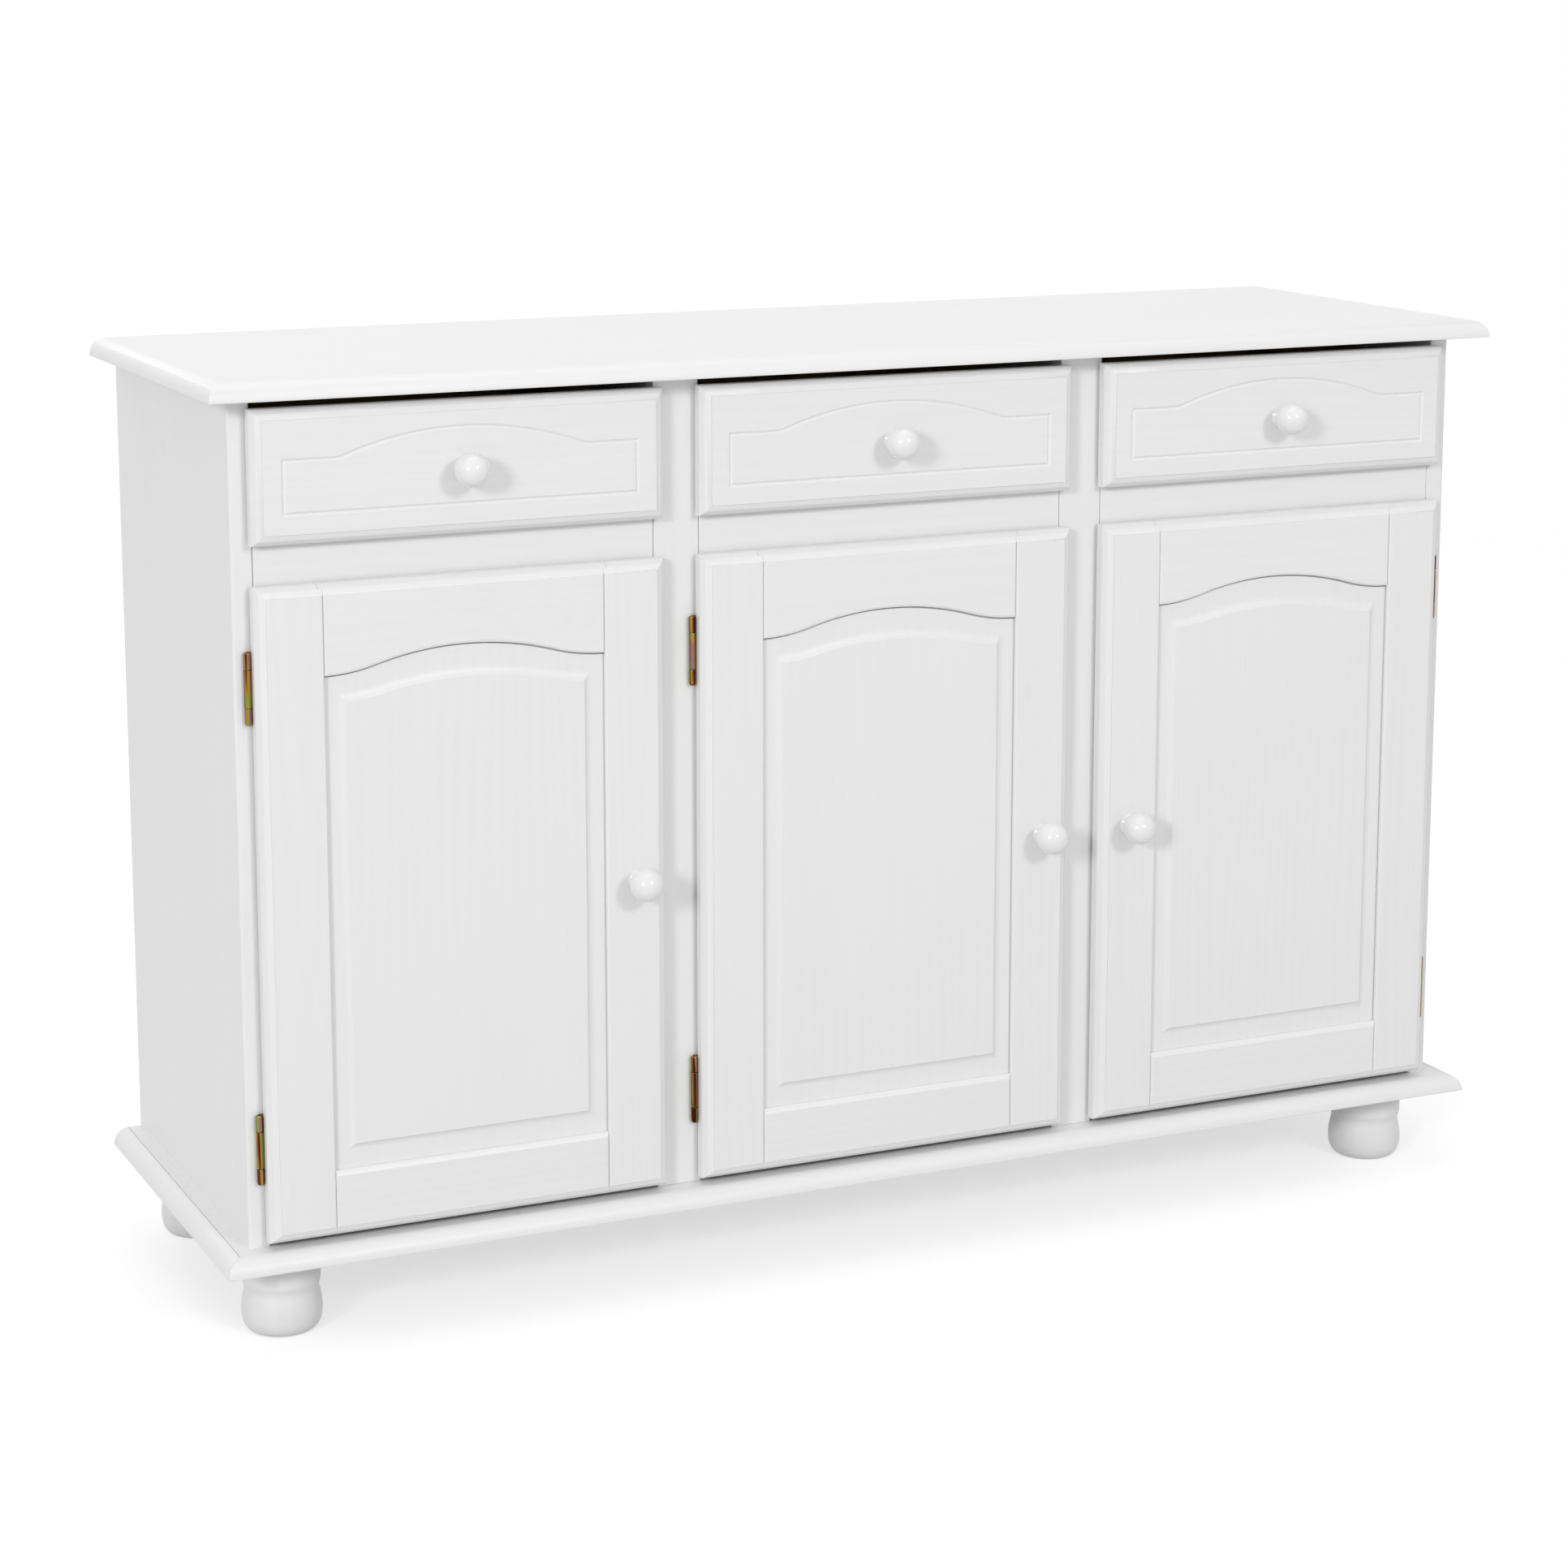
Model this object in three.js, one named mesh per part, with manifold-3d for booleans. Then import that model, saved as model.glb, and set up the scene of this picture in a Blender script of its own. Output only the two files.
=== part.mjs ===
// A three-bay sideboard: three drawers over three hinged doors, on four turned feet.
//
// Millimetres. +X is to the right, +Y to the back, +Z up. Everything below is laid out from the
// carcass's front plane (y = 0), the middle of its width (x = 0) and the floor (z = 0). The last
// group moves that layout so that the origin is the middle of the whole object's footprint.

import * as THREE from "three";
import { mergeVertices } from "three/addons/utils/BufferGeometryUtils.js";
import Module from "manifold-3d";

const wasm = await Module();
wasm.setup();

// ---- Driving dimensions -------------------------------------------------------------------

// Carcass
const CARCASS_WIDTH = 1136;
const CARCASS_DEPTH = 343;
const CARCASS_HEIGHT = 692;
const SIDE_THICKNESS = 18;
const STILE_WIDTH = 40;
const FRONT_THICKNESS = 18;
const PARTITION_THICKNESS = 18;
const EDGE_RADIUS = 3;
const BACK_THICKNESS = 5;
const BACK_REBATE = { width: 9, depth: 6 };

// Top board and base board, both with a quarter-ellipse edge at the front and the two ends
const BOARD_THICKNESS = 15;
const BOARD_EDGE = { width: 10, height: 13 };
const TOP_OVERHANG = { side: 22.5, front: 33 };
const BASE_OVERHANG = { side: 24.5, front: 27.5 };

// Feet
const FOOT_HEIGHT = 71;
const FOOT_INSET = { side: 38, front: 40, back: 51 };

// Doors and drawer fronts lie on the carcass's front and cover the edges of their openings
const OVERLAY = 4;
const LEAF_GAP = 2.5;
const LEAF_THICKNESS = 16.5;
const LEAF_CHAMFER = { width: 8.5, depth: 8 };

const DOOR_RISE = 5.5;
const DOOR_HEIGHT = 538;
const DOOR_STILE_WIDTH = 55;
const DOOR_BOTTOM_RAIL = 56;
const DOOR_ARCH = { shoulder: 464.5, blend: 43, rise: 17.5 };
const DOOR_KNOB_HEIGHT = 270.5;

// The door's panel: a tongue held in the frame's groove, and a raised field
const TONGUE = { reach: 8, back: 4.5, thickness: 5 };
const GROOVE_PLAY = 0.5;
const FIELD = { side: 23, top: 26, bottom: 18, height: 5.5, slope: 8 };

// Rails between drawers and doors, with the drawer runners behind them
const RAIL_RISE = 539;
const RAIL_HEIGHT = 42;
const RUNNER = { reach: 20, height: 20, guide: 13 };

// Drawers
const DRAWER_RISE = 576;
const DRAWER_HEIGHT = 108;
const DRAWER_GROOVE = { side: 23.5, bottom: 23, shoulder: 69, archHalf: 108, blend: 8, rise: 19.5 };
const DRAWER_GROOVE_CUT = { width: 2.5, depth: 1.5 };
const BOX = { clearance: 3, lift: 1, length: 302.5, height: 90, wall: 12, bottom: 4, bottomRise: 7 };

// Shelves
const SHELF_RISE = 262;
const SHELF_THICKNESS = 16;
const SHELF_PLAY = 1;
const SHELF_SETBACK = 4;

// Knobs: a ball on a short flared neck
const KNOB = { ball: 14.25, centre: 19, flange: 9, neck: 5.75 };

// Hinges: a cranked leaf on the carcass, a flat leaf on the door, three knuckles and a pin
const HINGE_LENGTH = 59;
const HINGE_RISES = [48, 427];
const HINGE = { radius: 3, leaf: 1, pin: 1.5, bore: 1.6, endKnuckle: 14.25, reach: 16, play: 0.25 };

// ---- Places that follow from them ---------------------------------------------------------

const BAY_WIDTH = (CARCASS_WIDTH - 2 * SIDE_THICKNESS - 2 * STILE_WIDTH) / 3;
const BAY_PITCH = BAY_WIDTH + STILE_WIDTH;
const LEAF_WIDTH = BAY_WIDTH + 2 * OVERLAY;
const HALF_WIDTH = CARCASS_WIDTH / 2;
const BACK_FACE = CARCASS_DEPTH - BACK_REBATE.depth;
const BASE_TOP = FOOT_HEIGHT + BOARD_THICKNESS;
const CARCASS_TOP = BASE_TOP + CARCASS_HEIGHT;
const LEAF_FACE = -LEAF_GAP - LEAF_THICKNESS;
const KNOB_REACH = KNOB.centre + KNOB.ball;
const FOOTPRINT_CENTRE = (CARCASS_DEPTH + LEAF_FACE - KNOB_REACH) / 2;

// ---- Materials ----------------------------------------------------------------------------

const lacquer = new THREE.MeshStandardMaterial({ color: 0xececec, roughness: 0.45, metalness: 0 });
const glossLacquer = new THREE.MeshStandardMaterial({ color: 0xf2f2f2, roughness: 0.2, metalness: 0 });
const hardboard = new THREE.MeshStandardMaterial({ color: 0xe4e4e2, roughness: 0.6, metalness: 0 });
const pine = new THREE.MeshStandardMaterial({ color: 0xe2c796, roughness: 0.6, metalness: 0 });
const zincPlate = new THREE.MeshStandardMaterial({ color: 0x9c8a3c, roughness: 0.3, metalness: 1 });

// ---- Solids -------------------------------------------------------------------------------

// Outlines drawn in X and Z stand up, with their thickness along -Y.
const STAND_UP = new THREE.Matrix4().set(1, 0, 0, 0, 0, 0, -1, 0, 0, 1, 0, 0, 0, 0, 0, 1);
// A turned profile's axis points up for a foot and towards -Y for a knob.
const AXIS_UP = STAND_UP;
const AXIS_FORWARD = new THREE.Matrix4().set(1, 0, 0, 0, 0, -1, 0, 0, 0, 0, -1, 0, 0, 0, 0, 1);

function solid(geometry) {
  geometry.deleteAttribute("normal");
  geometry.deleteAttribute("uv");
  const merged = mergeVertices(geometry, 1e-4);
  return new wasm.Manifold(new wasm.Mesh({
    numProp: 3,
    vertProperties: new Float32Array(merged.attributes.position.array),
    triVerts: new Uint32Array(merged.index.array),
  }));
}

function geometryOf(manifold) {
  const mesh = manifold.getMesh();
  const geometry = new THREE.BufferGeometry();
  geometry.setAttribute("position", new THREE.BufferAttribute(mesh.vertProperties, 3));
  geometry.setIndex(new THREE.BufferAttribute(mesh.triVerts, 1));
  geometry.computeVertexNormals();
  return geometry;
}

function join(...solids) {
  return solids.reduce((whole, piece) => whole.add(piece));
}

function block([x0, x1], [y0, y1], [z0, z1]) {
  const geometry = new THREE.BoxGeometry(x1 - x0, y1 - y0, z1 - z0);
  geometry.translate((x0 + x1) / 2, (y0 + y1) / 2, (z0 + z1) / 2);
  return solid(geometry);
}

function polygon(points) {
  return new THREE.Shape(points.map(([u, v]) => new THREE.Vector2(u, v)));
}

function rectangle([u0, u1], [v0, v1]) {
  return polygon([[u0, v0], [u1, v0], [u1, v1], [u0, v1]]);
}

// A plan outline raised from z0 to z1.
function raised(shape, [z0, z1], curveSegments = 4) {
  const options = { depth: z1 - z0, bevelEnabled: false, curveSegments };
  const geometry = new THREE.ExtrudeGeometry(shape, options);
  geometry.translate(0, 0, z0);
  return solid(geometry);
}

// A front outline standing up, with its back at y = back and its face towards -Y.
function standing(shape, back, thickness, curveSegments = 4) {
  const options = { depth: thickness, bevelEnabled: false, curveSegments };
  const geometry = new THREE.ExtrudeGeometry(shape, options);
  geometry.applyMatrix4(STAND_UP);
  geometry.translate(0, back, 0);
  return solid(geometry);
}

// The same with its face edge sloped all round: the outline is the back, and the face is smaller.
function standingChamfered(shape, back, thickness, chamfer) {
  const spare = 2;
  const geometry = new THREE.ExtrudeGeometry(shape, {
    depth: thickness - chamfer.depth + spare,
    bevelThickness: chamfer.depth,
    bevelSize: chamfer.width,
    bevelOffset: -chamfer.width,
    bevelSegments: 1,
    curveSegments: 4,
  });
  geometry.applyMatrix4(STAND_UP);
  geometry.translate(0, back + spare, 0);
  const reach = 2 * CARCASS_WIDTH;
  return solid(geometry).subtract(block([-reach, reach], [back, back + reach], [-reach, reach]));
}

function turned(profile, axis, segments) {
  const points = profile.map(([radius, along]) => new THREE.Vector2(radius, along));
  const geometry = new THREE.LatheGeometry(points, segments);
  geometry.applyMatrix4(axis);
  return solid(geometry);
}

// An upright cylinder about the Z axis.
function post(radius, [z0, z1]) {
  const geometry = new THREE.CylinderGeometry(radius, radius, z1 - z0, 16);
  geometry.applyMatrix4(STAND_UP);
  geometry.translate(0, 0, (z0 + z1) / 2);
  return solid(geometry);
}

function part(name, manifold, material, position = [0, 0, 0]) {
  const mesh = new THREE.Mesh(geometryOf(manifold), material);
  mesh.name = name;
  mesh.position.set(...position);
  return mesh;
}

function group(position, ...children) {
  const assembly = new THREE.Group();
  assembly.position.set(...position);
  assembly.add(...children);
  return assembly;
}

// An outline with a flat bottom, upright sides and a top that swells into a low arch: two small
// arcs curve up from the shoulders and meet one wide arc. `inset` draws it smaller all round.
function archedOutline({ half, low, shoulder, archHalf, blend, rise, inset = 0 }) {
  const turn = 2 * Math.atan(rise / archHalf);
  const blendRadius = blend / Math.sin(turn) + inset;
  const archRadius = (archHalf - blend) / Math.sin(turn) - inset;
  const blendCentre = shoulder + blend / Math.sin(turn);
  const archCentre = shoulder + rise - (archHalf - blend) / Math.sin(turn);
  const side = half - inset;
  const trimmed = Math.asin(Math.max(archHalf - side, 0) / blendRadius);
  const up = Math.PI / 2;

  const shape = new THREE.Shape();
  shape.moveTo(-side, low + inset);
  shape.lineTo(side, low + inset);
  shape.lineTo(side, blendCentre - blendRadius * Math.cos(trimmed));
  shape.absarc(archHalf, blendCentre, blendRadius, -up - trimmed, -up - turn, true);
  shape.absarc(0, archCentre, archRadius, up - turn, up + turn, false);
  shape.absarc(-archHalf, blendCentre, blendRadius, -up + turn, -up + trimmed, true);
  shape.lineTo(-side, blendCentre - blendRadius * Math.cos(trimmed));
  shape.closePath();
  return shape;
}

// ---- Carcass ------------------------------------------------------------------------------

// A board with its upper edge rounded at the front and the two ends, and cut square at the back.
function mouldedBoard(overhang) {
  const half = HALF_WIDTH + overhang.side;
  const spare = BOARD_EDGE.width + 5;
  const outline = rectangle([-half, half], [-overhang.front, CARCASS_DEPTH + spare]);
  const straight = BOARD_THICKNESS - BOARD_EDGE.height;
  const geometry = new THREE.ExtrudeGeometry(outline, {
    depth: straight + BOARD_THICKNESS,
    bevelThickness: BOARD_EDGE.height,
    bevelSize: BOARD_EDGE.width,
    bevelOffset: -BOARD_EDGE.width,
    bevelSegments: 5,
  });
  geometry.translate(0, 0, -BOARD_THICKNESS);
  const reach = 2 * CARCASS_WIDTH;
  const below = block([-reach, reach], [-reach, reach], [-reach, 0]);
  const behind = block([-reach, reach], [CARCASS_DEPTH, reach], [-reach, reach]);
  return solid(geometry).subtract(below).subtract(behind);
}

// Plan outline of the left side panel: rounded outer front edge, rebate for the back panel.
function sidePanel(side) {
  const outer = -HALF_WIDTH;
  const inner = outer + SIDE_THICKNESS;
  const rebate = inner - BACK_REBATE.width;
  const shape = new THREE.Shape();
  const point = (x, y) => [-side * x, y];
  shape.moveTo(...point(outer + EDGE_RADIUS, 0));
  shape.lineTo(...point(inner, 0));
  shape.lineTo(...point(inner, BACK_FACE));
  shape.lineTo(...point(rebate, BACK_FACE));
  shape.lineTo(...point(rebate, CARCASS_DEPTH));
  shape.lineTo(...point(outer, CARCASS_DEPTH));
  shape.lineTo(...point(outer, EDGE_RADIUS));
  shape.quadraticCurveTo(...point(outer, 0), ...point(outer + EDGE_RADIUS, 0));
  return raised(shape, [BASE_TOP, CARCASS_TOP]);
}

function partition() {
  const half = PARTITION_THICKNESS / 2;
  return block([-half, half], [FRONT_THICKNESS, BACK_FACE], [BASE_TOP, CARCASS_TOP]);
}

function centreStile() {
  const half = STILE_WIDTH / 2;
  return block([-half, half], [0, FRONT_THICKNESS], [BASE_TOP, CARCASS_TOP]);
}

function backPanel() {
  const half = HALF_WIDTH - SIDE_THICKNESS + BACK_REBATE.width;
  return block([-half, half], [BACK_FACE, BACK_FACE + BACK_THICKNESS], [BASE_TOP, CARCASS_TOP]);
}

// A bay's inner width runs to the side panel on an outer side and to the partition on an inner one.
function bayWall(place, side) {
  const outermost = place * side === 1;
  return BAY_WIDTH / 2 + (outermost ? 0 : (STILE_WIDTH - PARTITION_THICKNESS) / 2);
}

// The rail with a drawer runner behind each end. A guide on the runner fills the recess behind a
// centre stile, so that the drawer runs straight.
function drawerFrame(place) {
  const bottom = BASE_TOP + RAIL_RISE;
  const top = bottom + RAIL_HEIGHT;
  const half = BAY_WIDTH / 2;
  const pieces = [block([-half, half], [0, FRONT_THICKNESS], [bottom, top])];
  for (const side of [-1, 1]) {
    const wall = bayWall(place, side);
    const across = (from, to) => [side * from, side * to].sort((a, b) => a - b);
    const along = [FRONT_THICKNESS, BACK_FACE];
    pieces.push(block(across(half - RUNNER.reach, wall), along, [top - RUNNER.height, top]));
    if (wall > half) {
      pieces.push(block(across(half, wall), along, [top - RUNNER.height, top + RUNNER.guide]));
    }
  }
  return join(...pieces);
}

function shelf(place) {
  const left = -bayWall(place, -1) + SHELF_PLAY;
  const right = bayWall(place, 1) - SHELF_PLAY;
  const bottom = BASE_TOP + SHELF_RISE;
  const depth = [FRONT_THICKNESS + SHELF_SETBACK, BACK_FACE - SHELF_PLAY];
  return block([left, right], depth, [bottom, bottom + SHELF_THICKNESS]);
}

function foot() {
  const profile = [
    [0, 0], [24, 0], [27.5, 1.5], [31, 5], [33, 10], [33.5, 15], [33, 20], [31.75, 26],
    [30.75, 31], [31, 34], [32.25, 38], [32.5, 42], [32.5, FOOT_HEIGHT], [0, FOOT_HEIGHT],
  ];
  return turned(profile, AXIS_UP, 28);
}

// ---- Knobs --------------------------------------------------------------------------------

function knob() {
  const neckEnd = KNOB.centre - Math.sqrt(KNOB.ball ** 2 - KNOB.neck ** 2);
  const profile = [[0, 0], [KNOB.flange, 0], [KNOB.flange, 1.25], [KNOB.neck + 1, 3.5]];
  const start = Math.atan2(neckEnd - KNOB.centre, KNOB.neck);
  const steps = 10;
  for (let step = 0; step < steps; step += 1) {
    const angle = start + (Math.PI / 2 - start) * step / steps;
    profile.push([KNOB.ball * Math.cos(angle), KNOB.centre + KNOB.ball * Math.sin(angle)]);
  }
  profile.push([0, KNOB_REACH]);
  return turned(profile, AXIS_FORWARD, 20);
}

// ---- Doors: laid out from the middle of the bottom edge of the door's back ----------------

const doorOpening = {
  half: LEAF_WIDTH / 2 - DOOR_STILE_WIDTH,
  low: DOOR_BOTTOM_RAIL,
  archHalf: LEAF_WIDTH / 2 - DOOR_STILE_WIDTH,
  ...DOOR_ARCH,
};

function leafBlank(height) {
  const outline = rectangle([-LEAF_WIDTH / 2, LEAF_WIDTH / 2], [0, height]);
  return standingChamfered(outline, 0, LEAF_THICKNESS, LEAF_CHAMFER);
}

function panelGroove() {
  const outline = archedOutline({ ...doorOpening, inset: -TONGUE.reach - GROOVE_PLAY });
  return standing(outline, -TONGUE.back + GROOVE_PLAY / 2, TONGUE.thickness + GROOVE_PLAY);
}

function doorStile(side) {
  const outer = LEAF_WIDTH / 2;
  const across = [side * outer, side * (outer - DOOR_STILE_WIDTH)].sort((a, b) => a - b);
  const region = block(across, [-LEAF_THICKNESS - 1, 1], [-1, DOOR_HEIGHT + 1]);
  return leafBlank(DOOR_HEIGHT).intersect(region).subtract(panelGroove());
}

// The rails are what is left of the door between its stiles, above and below the opening.
function doorRail(upper) {
  const half = doorOpening.half;
  const middle = DOOR_HEIGHT / 2;
  const height = upper ? [middle, DOOR_HEIGHT + 1] : [-1, middle];
  const region = block([-half, half], [-LEAF_THICKNESS - 1, 1], height);
  const hole = standing(archedOutline(doorOpening), 1, LEAF_THICKNESS + 2);
  return leafBlank(DOOR_HEIGHT).intersect(region).subtract(hole).subtract(panelGroove());
}

function doorPanel() {
  const tongue = archedOutline({ ...doorOpening, inset: -TONGUE.reach });
  const plate = standing(tongue, -TONGUE.back, TONGUE.thickness);
  // The raised field's foot lies `slope` outside the field itself.
  const field = archedOutline({
    ...doorOpening,
    half: doorOpening.half - FIELD.side + FIELD.slope,
    low: doorOpening.low + FIELD.bottom - FIELD.slope,
    shoulder: doorOpening.shoulder - FIELD.top + FIELD.slope,
  });
  const sunk = 1;
  const chamfer = { width: FIELD.slope, depth: FIELD.height };
  const back = -TONGUE.back - TONGUE.thickness + sunk;
  return plate.add(standingChamfered(field, back, FIELD.height + sunk, chamfer));
}

// ---- Hinges: laid out from the pin's axis, at the lower end of the barrel -----------------

const HINGE_PLACE = {
  outside: OVERLAY + HINGE.play + HINGE.radius,
  forward: HINGE.play + HINGE.radius,
};

const knuckleJoints = [HINGE.endKnuckle, HINGE_LENGTH - HINGE.endKnuckle];

function frameLeaf(towards) {
  const edge = HINGE_PLACE.outside;
  const front = HINGE_PLACE.forward;
  const outline = polygon([
    [0, front - HINGE.leaf],
    [edge + HINGE.leaf, front - HINGE.leaf],
    [edge + HINGE.leaf, front + HINGE.reach],
    [edge, front + HINGE.reach],
    [edge, front],
    [0, front],
  ].map(([x, y]) => [towards * x, y]));
  const [low, high] = knuckleJoints;
  const clear = HINGE.radius + HINGE.play;
  const notch = [low - HINGE.play, high + HINGE.play];
  const knuckleRoom = block([-clear, clear], [-clear, clear], notch);
  return join(
    raised(outline, [0, HINGE_LENGTH]).subtract(knuckleRoom),
    post(HINGE.radius, [0, low - HINGE.play]),
    post(HINGE.radius, [high + HINGE.play, HINGE_LENGTH]),
    post(HINGE.pin, [1, HINGE_LENGTH - 1]),
  );
}

function doorLeaf(towards) {
  const back = HINGE_PLACE.forward - LEAF_GAP;
  const reach = HINGE_PLACE.outside + HINGE.reach;
  const [low, high] = knuckleJoints;
  const across = (from, to) => [towards * from, towards * to].sort((a, b) => a - b);
  const plate = block(across(0, reach), [back, back + HINGE.leaf], [0, HINGE_LENGTH]);
  const clear = HINGE.radius + HINGE.play;
  const lowRoom = block([-clear, clear], [-clear, clear], [-1, low]);
  const highRoom = block([-clear, clear], [-clear, clear], [high, HINGE_LENGTH + 1]);
  const bore = post(HINGE.bore, [0, HINGE_LENGTH]);
  return plate.subtract(lowRoom).subtract(highRoom).add(post(HINGE.radius, [low, high])).subtract(bore);
}

// ---- Drawers: laid out from the middle of the bottom edge of the front's back --------------

function drawerFront() {
  const { side, bottom, shoulder, archHalf, blend, rise } = DRAWER_GROOVE;
  const line = { half: LEAF_WIDTH / 2 - side, low: bottom, shoulder, archHalf, blend, rise };
  const face = -LEAF_THICKNESS;
  const cutTop = face + DRAWER_GROOVE_CUT.depth;
  const cutDepth = DRAWER_GROOVE_CUT.depth + 1;
  const outer = standing(archedOutline(line), cutTop, cutDepth);
  const innerLine = { ...line, inset: DRAWER_GROOVE_CUT.width };
  const inner = standing(archedOutline(innerLine), cutTop + 1, cutDepth + 2);
  return leafBlank(DRAWER_HEIGHT).subtract(outer.subtract(inner));
}

// Two sides, a back and a bottom let into them, joined to the back of the drawer front.
function drawerBox() {
  const half = BAY_WIDTH / 2 - BOX.clearance;
  const bottom = RAIL_RISE + RAIL_HEIGHT + BOX.lift - DRAWER_RISE;
  const height = [bottom, bottom + BOX.height];
  const left = block([-half, -half + BOX.wall], [0, BOX.length], height);
  const right = block([half - BOX.wall, half], [0, BOX.length], height);
  const back = block([-half, half], [BOX.length - BOX.wall, BOX.length], height);
  const floor = bottom + BOX.bottomRise;
  const panelHalf = half - BOX.wall / 2;
  const base = block([-panelHalf, panelHalf], [0, BOX.length - BOX.wall / 2], [floor, floor + BOX.bottom]);
  return join(left, right, back, base);
}

// ---- Assembly -----------------------------------------------------------------------------

const BAYS = [
  { name: "left", place: -1, hingeSide: -1 },
  { name: "centre", place: 0, hingeSide: -1 },
  { name: "right", place: 1, hingeSide: 1 },
];

const SIDES = [{ name: "left", side: -1 }, { name: "right", side: 1 }];

function door({ name, hingeSide }) {
  const knobX = -hingeSide * (LEAF_WIDTH - DOOR_STILE_WIDTH) / 2;
  return group(
    [0, -LEAF_GAP, BASE_TOP + DOOR_RISE],
    part(`${name}_door_left_stile`, doorStile(-1), lacquer),
    part(`${name}_door_right_stile`, doorStile(1), lacquer),
    part(`${name}_door_top_rail`, doorRail(true), lacquer),
    part(`${name}_door_bottom_rail`, doorRail(false), lacquer),
    part(`${name}_door_panel`, doorPanel(), lacquer),
    part(`${name}_door_knob`, knob(), glossLacquer, [knobX, -LEAF_THICKNESS, DOOR_KNOB_HEIGHT]),
  );
}

function doorHinges({ name, hingeSide }) {
  const x = hingeSide * (BAY_WIDTH / 2 + HINGE_PLACE.outside);
  const places = [["lower", HINGE_RISES[0]], ["upper", HINGE_RISES[1]]];
  return places.map(([place, rise]) => group(
    [x, -HINGE_PLACE.forward, BASE_TOP + DOOR_RISE + rise],
    part(`${name}_${place}_hinge_frame_leaf`, frameLeaf(-hingeSide), zincPlate),
    part(`${name}_${place}_hinge_door_leaf`, doorLeaf(-hingeSide), zincPlate),
  ));
}

function drawer({ name }) {
  return group(
    [0, -LEAF_GAP, BASE_TOP + DRAWER_RISE],
    part(`${name}_drawer_front`, drawerFront(), lacquer),
    part(`${name}_drawer_box`, drawerBox(), pine),
    part(`${name}_drawer_knob`, knob(), glossLacquer, [0, -LEAF_THICKNESS, DRAWER_HEIGHT / 2]),
  );
}

const carcass = [
  part("top_board", mouldedBoard(TOP_OVERHANG), lacquer, [0, 0, CARCASS_TOP]),
  part("base_board", mouldedBoard(BASE_OVERHANG), lacquer, [0, 0, FOOT_HEIGHT]),
  part("back_panel", backPanel(), hardboard),
];

for (const { name, side } of SIDES) {
  const stileX = side * BAY_PITCH / 2;
  const footX = side * (HALF_WIDTH - FOOT_INSET.side);
  carcass.push(
    part(`${name}_side_panel`, sidePanel(side), lacquer),
    part(`${name}_partition`, partition(), lacquer, [stileX, 0, 0]),
    part(`${name}_centre_stile`, centreStile(), lacquer, [stileX, 0, 0]),
    part(`front_${name}_foot`, foot(), lacquer, [footX, FOOT_INSET.front, 0]),
    part(`back_${name}_foot`, foot(), lacquer, [footX, CARCASS_DEPTH - FOOT_INSET.back, 0]),
  );
}

const bays = BAYS.map((bay) => group(
  [bay.place * BAY_PITCH, 0, 0],
  part(`${bay.name}_drawer_frame`, drawerFrame(bay.place), lacquer),
  part(`${bay.name}_shelf`, shelf(bay.place), lacquer),
  door(bay),
  ...doorHinges(bay),
  drawer(bay),
));

const sideboard = group([0, -FOOTPRINT_CENTRE, 0], ...carcass, ...bays);

export default sideboard;
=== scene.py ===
import math
import random

import bmesh
import bpy
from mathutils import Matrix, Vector


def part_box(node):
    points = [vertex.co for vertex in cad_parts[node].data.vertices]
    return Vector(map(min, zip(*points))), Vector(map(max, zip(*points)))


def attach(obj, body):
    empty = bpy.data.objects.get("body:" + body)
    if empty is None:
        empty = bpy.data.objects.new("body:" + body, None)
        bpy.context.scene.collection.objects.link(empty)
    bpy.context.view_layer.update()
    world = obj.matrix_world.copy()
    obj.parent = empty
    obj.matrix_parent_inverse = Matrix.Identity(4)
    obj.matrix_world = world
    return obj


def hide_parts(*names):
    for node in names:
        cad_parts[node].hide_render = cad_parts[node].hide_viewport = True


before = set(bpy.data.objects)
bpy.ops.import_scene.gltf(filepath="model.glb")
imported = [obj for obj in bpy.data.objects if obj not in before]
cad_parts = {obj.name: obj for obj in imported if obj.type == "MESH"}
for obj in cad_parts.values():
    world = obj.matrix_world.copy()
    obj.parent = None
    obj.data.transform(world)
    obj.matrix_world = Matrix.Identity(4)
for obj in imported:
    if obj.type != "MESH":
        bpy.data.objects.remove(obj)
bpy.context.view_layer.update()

# The looks of a white lacquered pine sideboard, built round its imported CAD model.
# Positions come from the CAD nodes' boxes. Shape details are in millimetres, except where a
# material works in metres.

MM = 0.001
scene = bpy.context.scene

BAYS = (("left", -1), ("centre", -1), ("right", 1))    # name, and the side its door hinges on
SIDES = (("left", -1), ("right", 1))

# Edge profiles: (inset from the outline, depth below the front or top surface), in order from the
# outside inwards. A leaf is a door or a drawer front.

# The rounded upper edge of the top board and the base board
BOARD_EDGE = [(0.8, 15), (0.25, 14.75), (0, 14.2), (0.15, 12.6), (0.5, 10.6), (1.0, 8.8),
              (1.7, 7.2), (2.7, 5.5), (4.1, 3.8), (5.8, 2.4), (7.8, 1.3), (9.8, 0.55), (11.8, 0.12),
              (13.2, 0)]
# The outer edge of a leaf: a steep slope, a flatter one, and a small step up to the face
LEAF_EDGE = [(0.7, 16.5), (0.2, 16.3), (0, 15.8), (0, 9.0), (0.15, 8.2), (0.5, 7.4), (3.4, 3.9),
             (3.8, 3.5), (4.3, 3.2), (8.2, 1.3), (8.5, 1.2), (8.6, 0.35), (8.75, 0.08), (9.0, 0)]
# The ends of a door's rails, with the stub tenon that fits the stiles' groove
RAIL_END = [(0.2, 16.5), (0.2, 12.3), (-3.0, 12.2), (-3.0, 3.8), (0.2, 3.7), (0.2, 2.0), (0.35, 1.4),
            (1.2, 0.4), (2.0, 0)]
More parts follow.
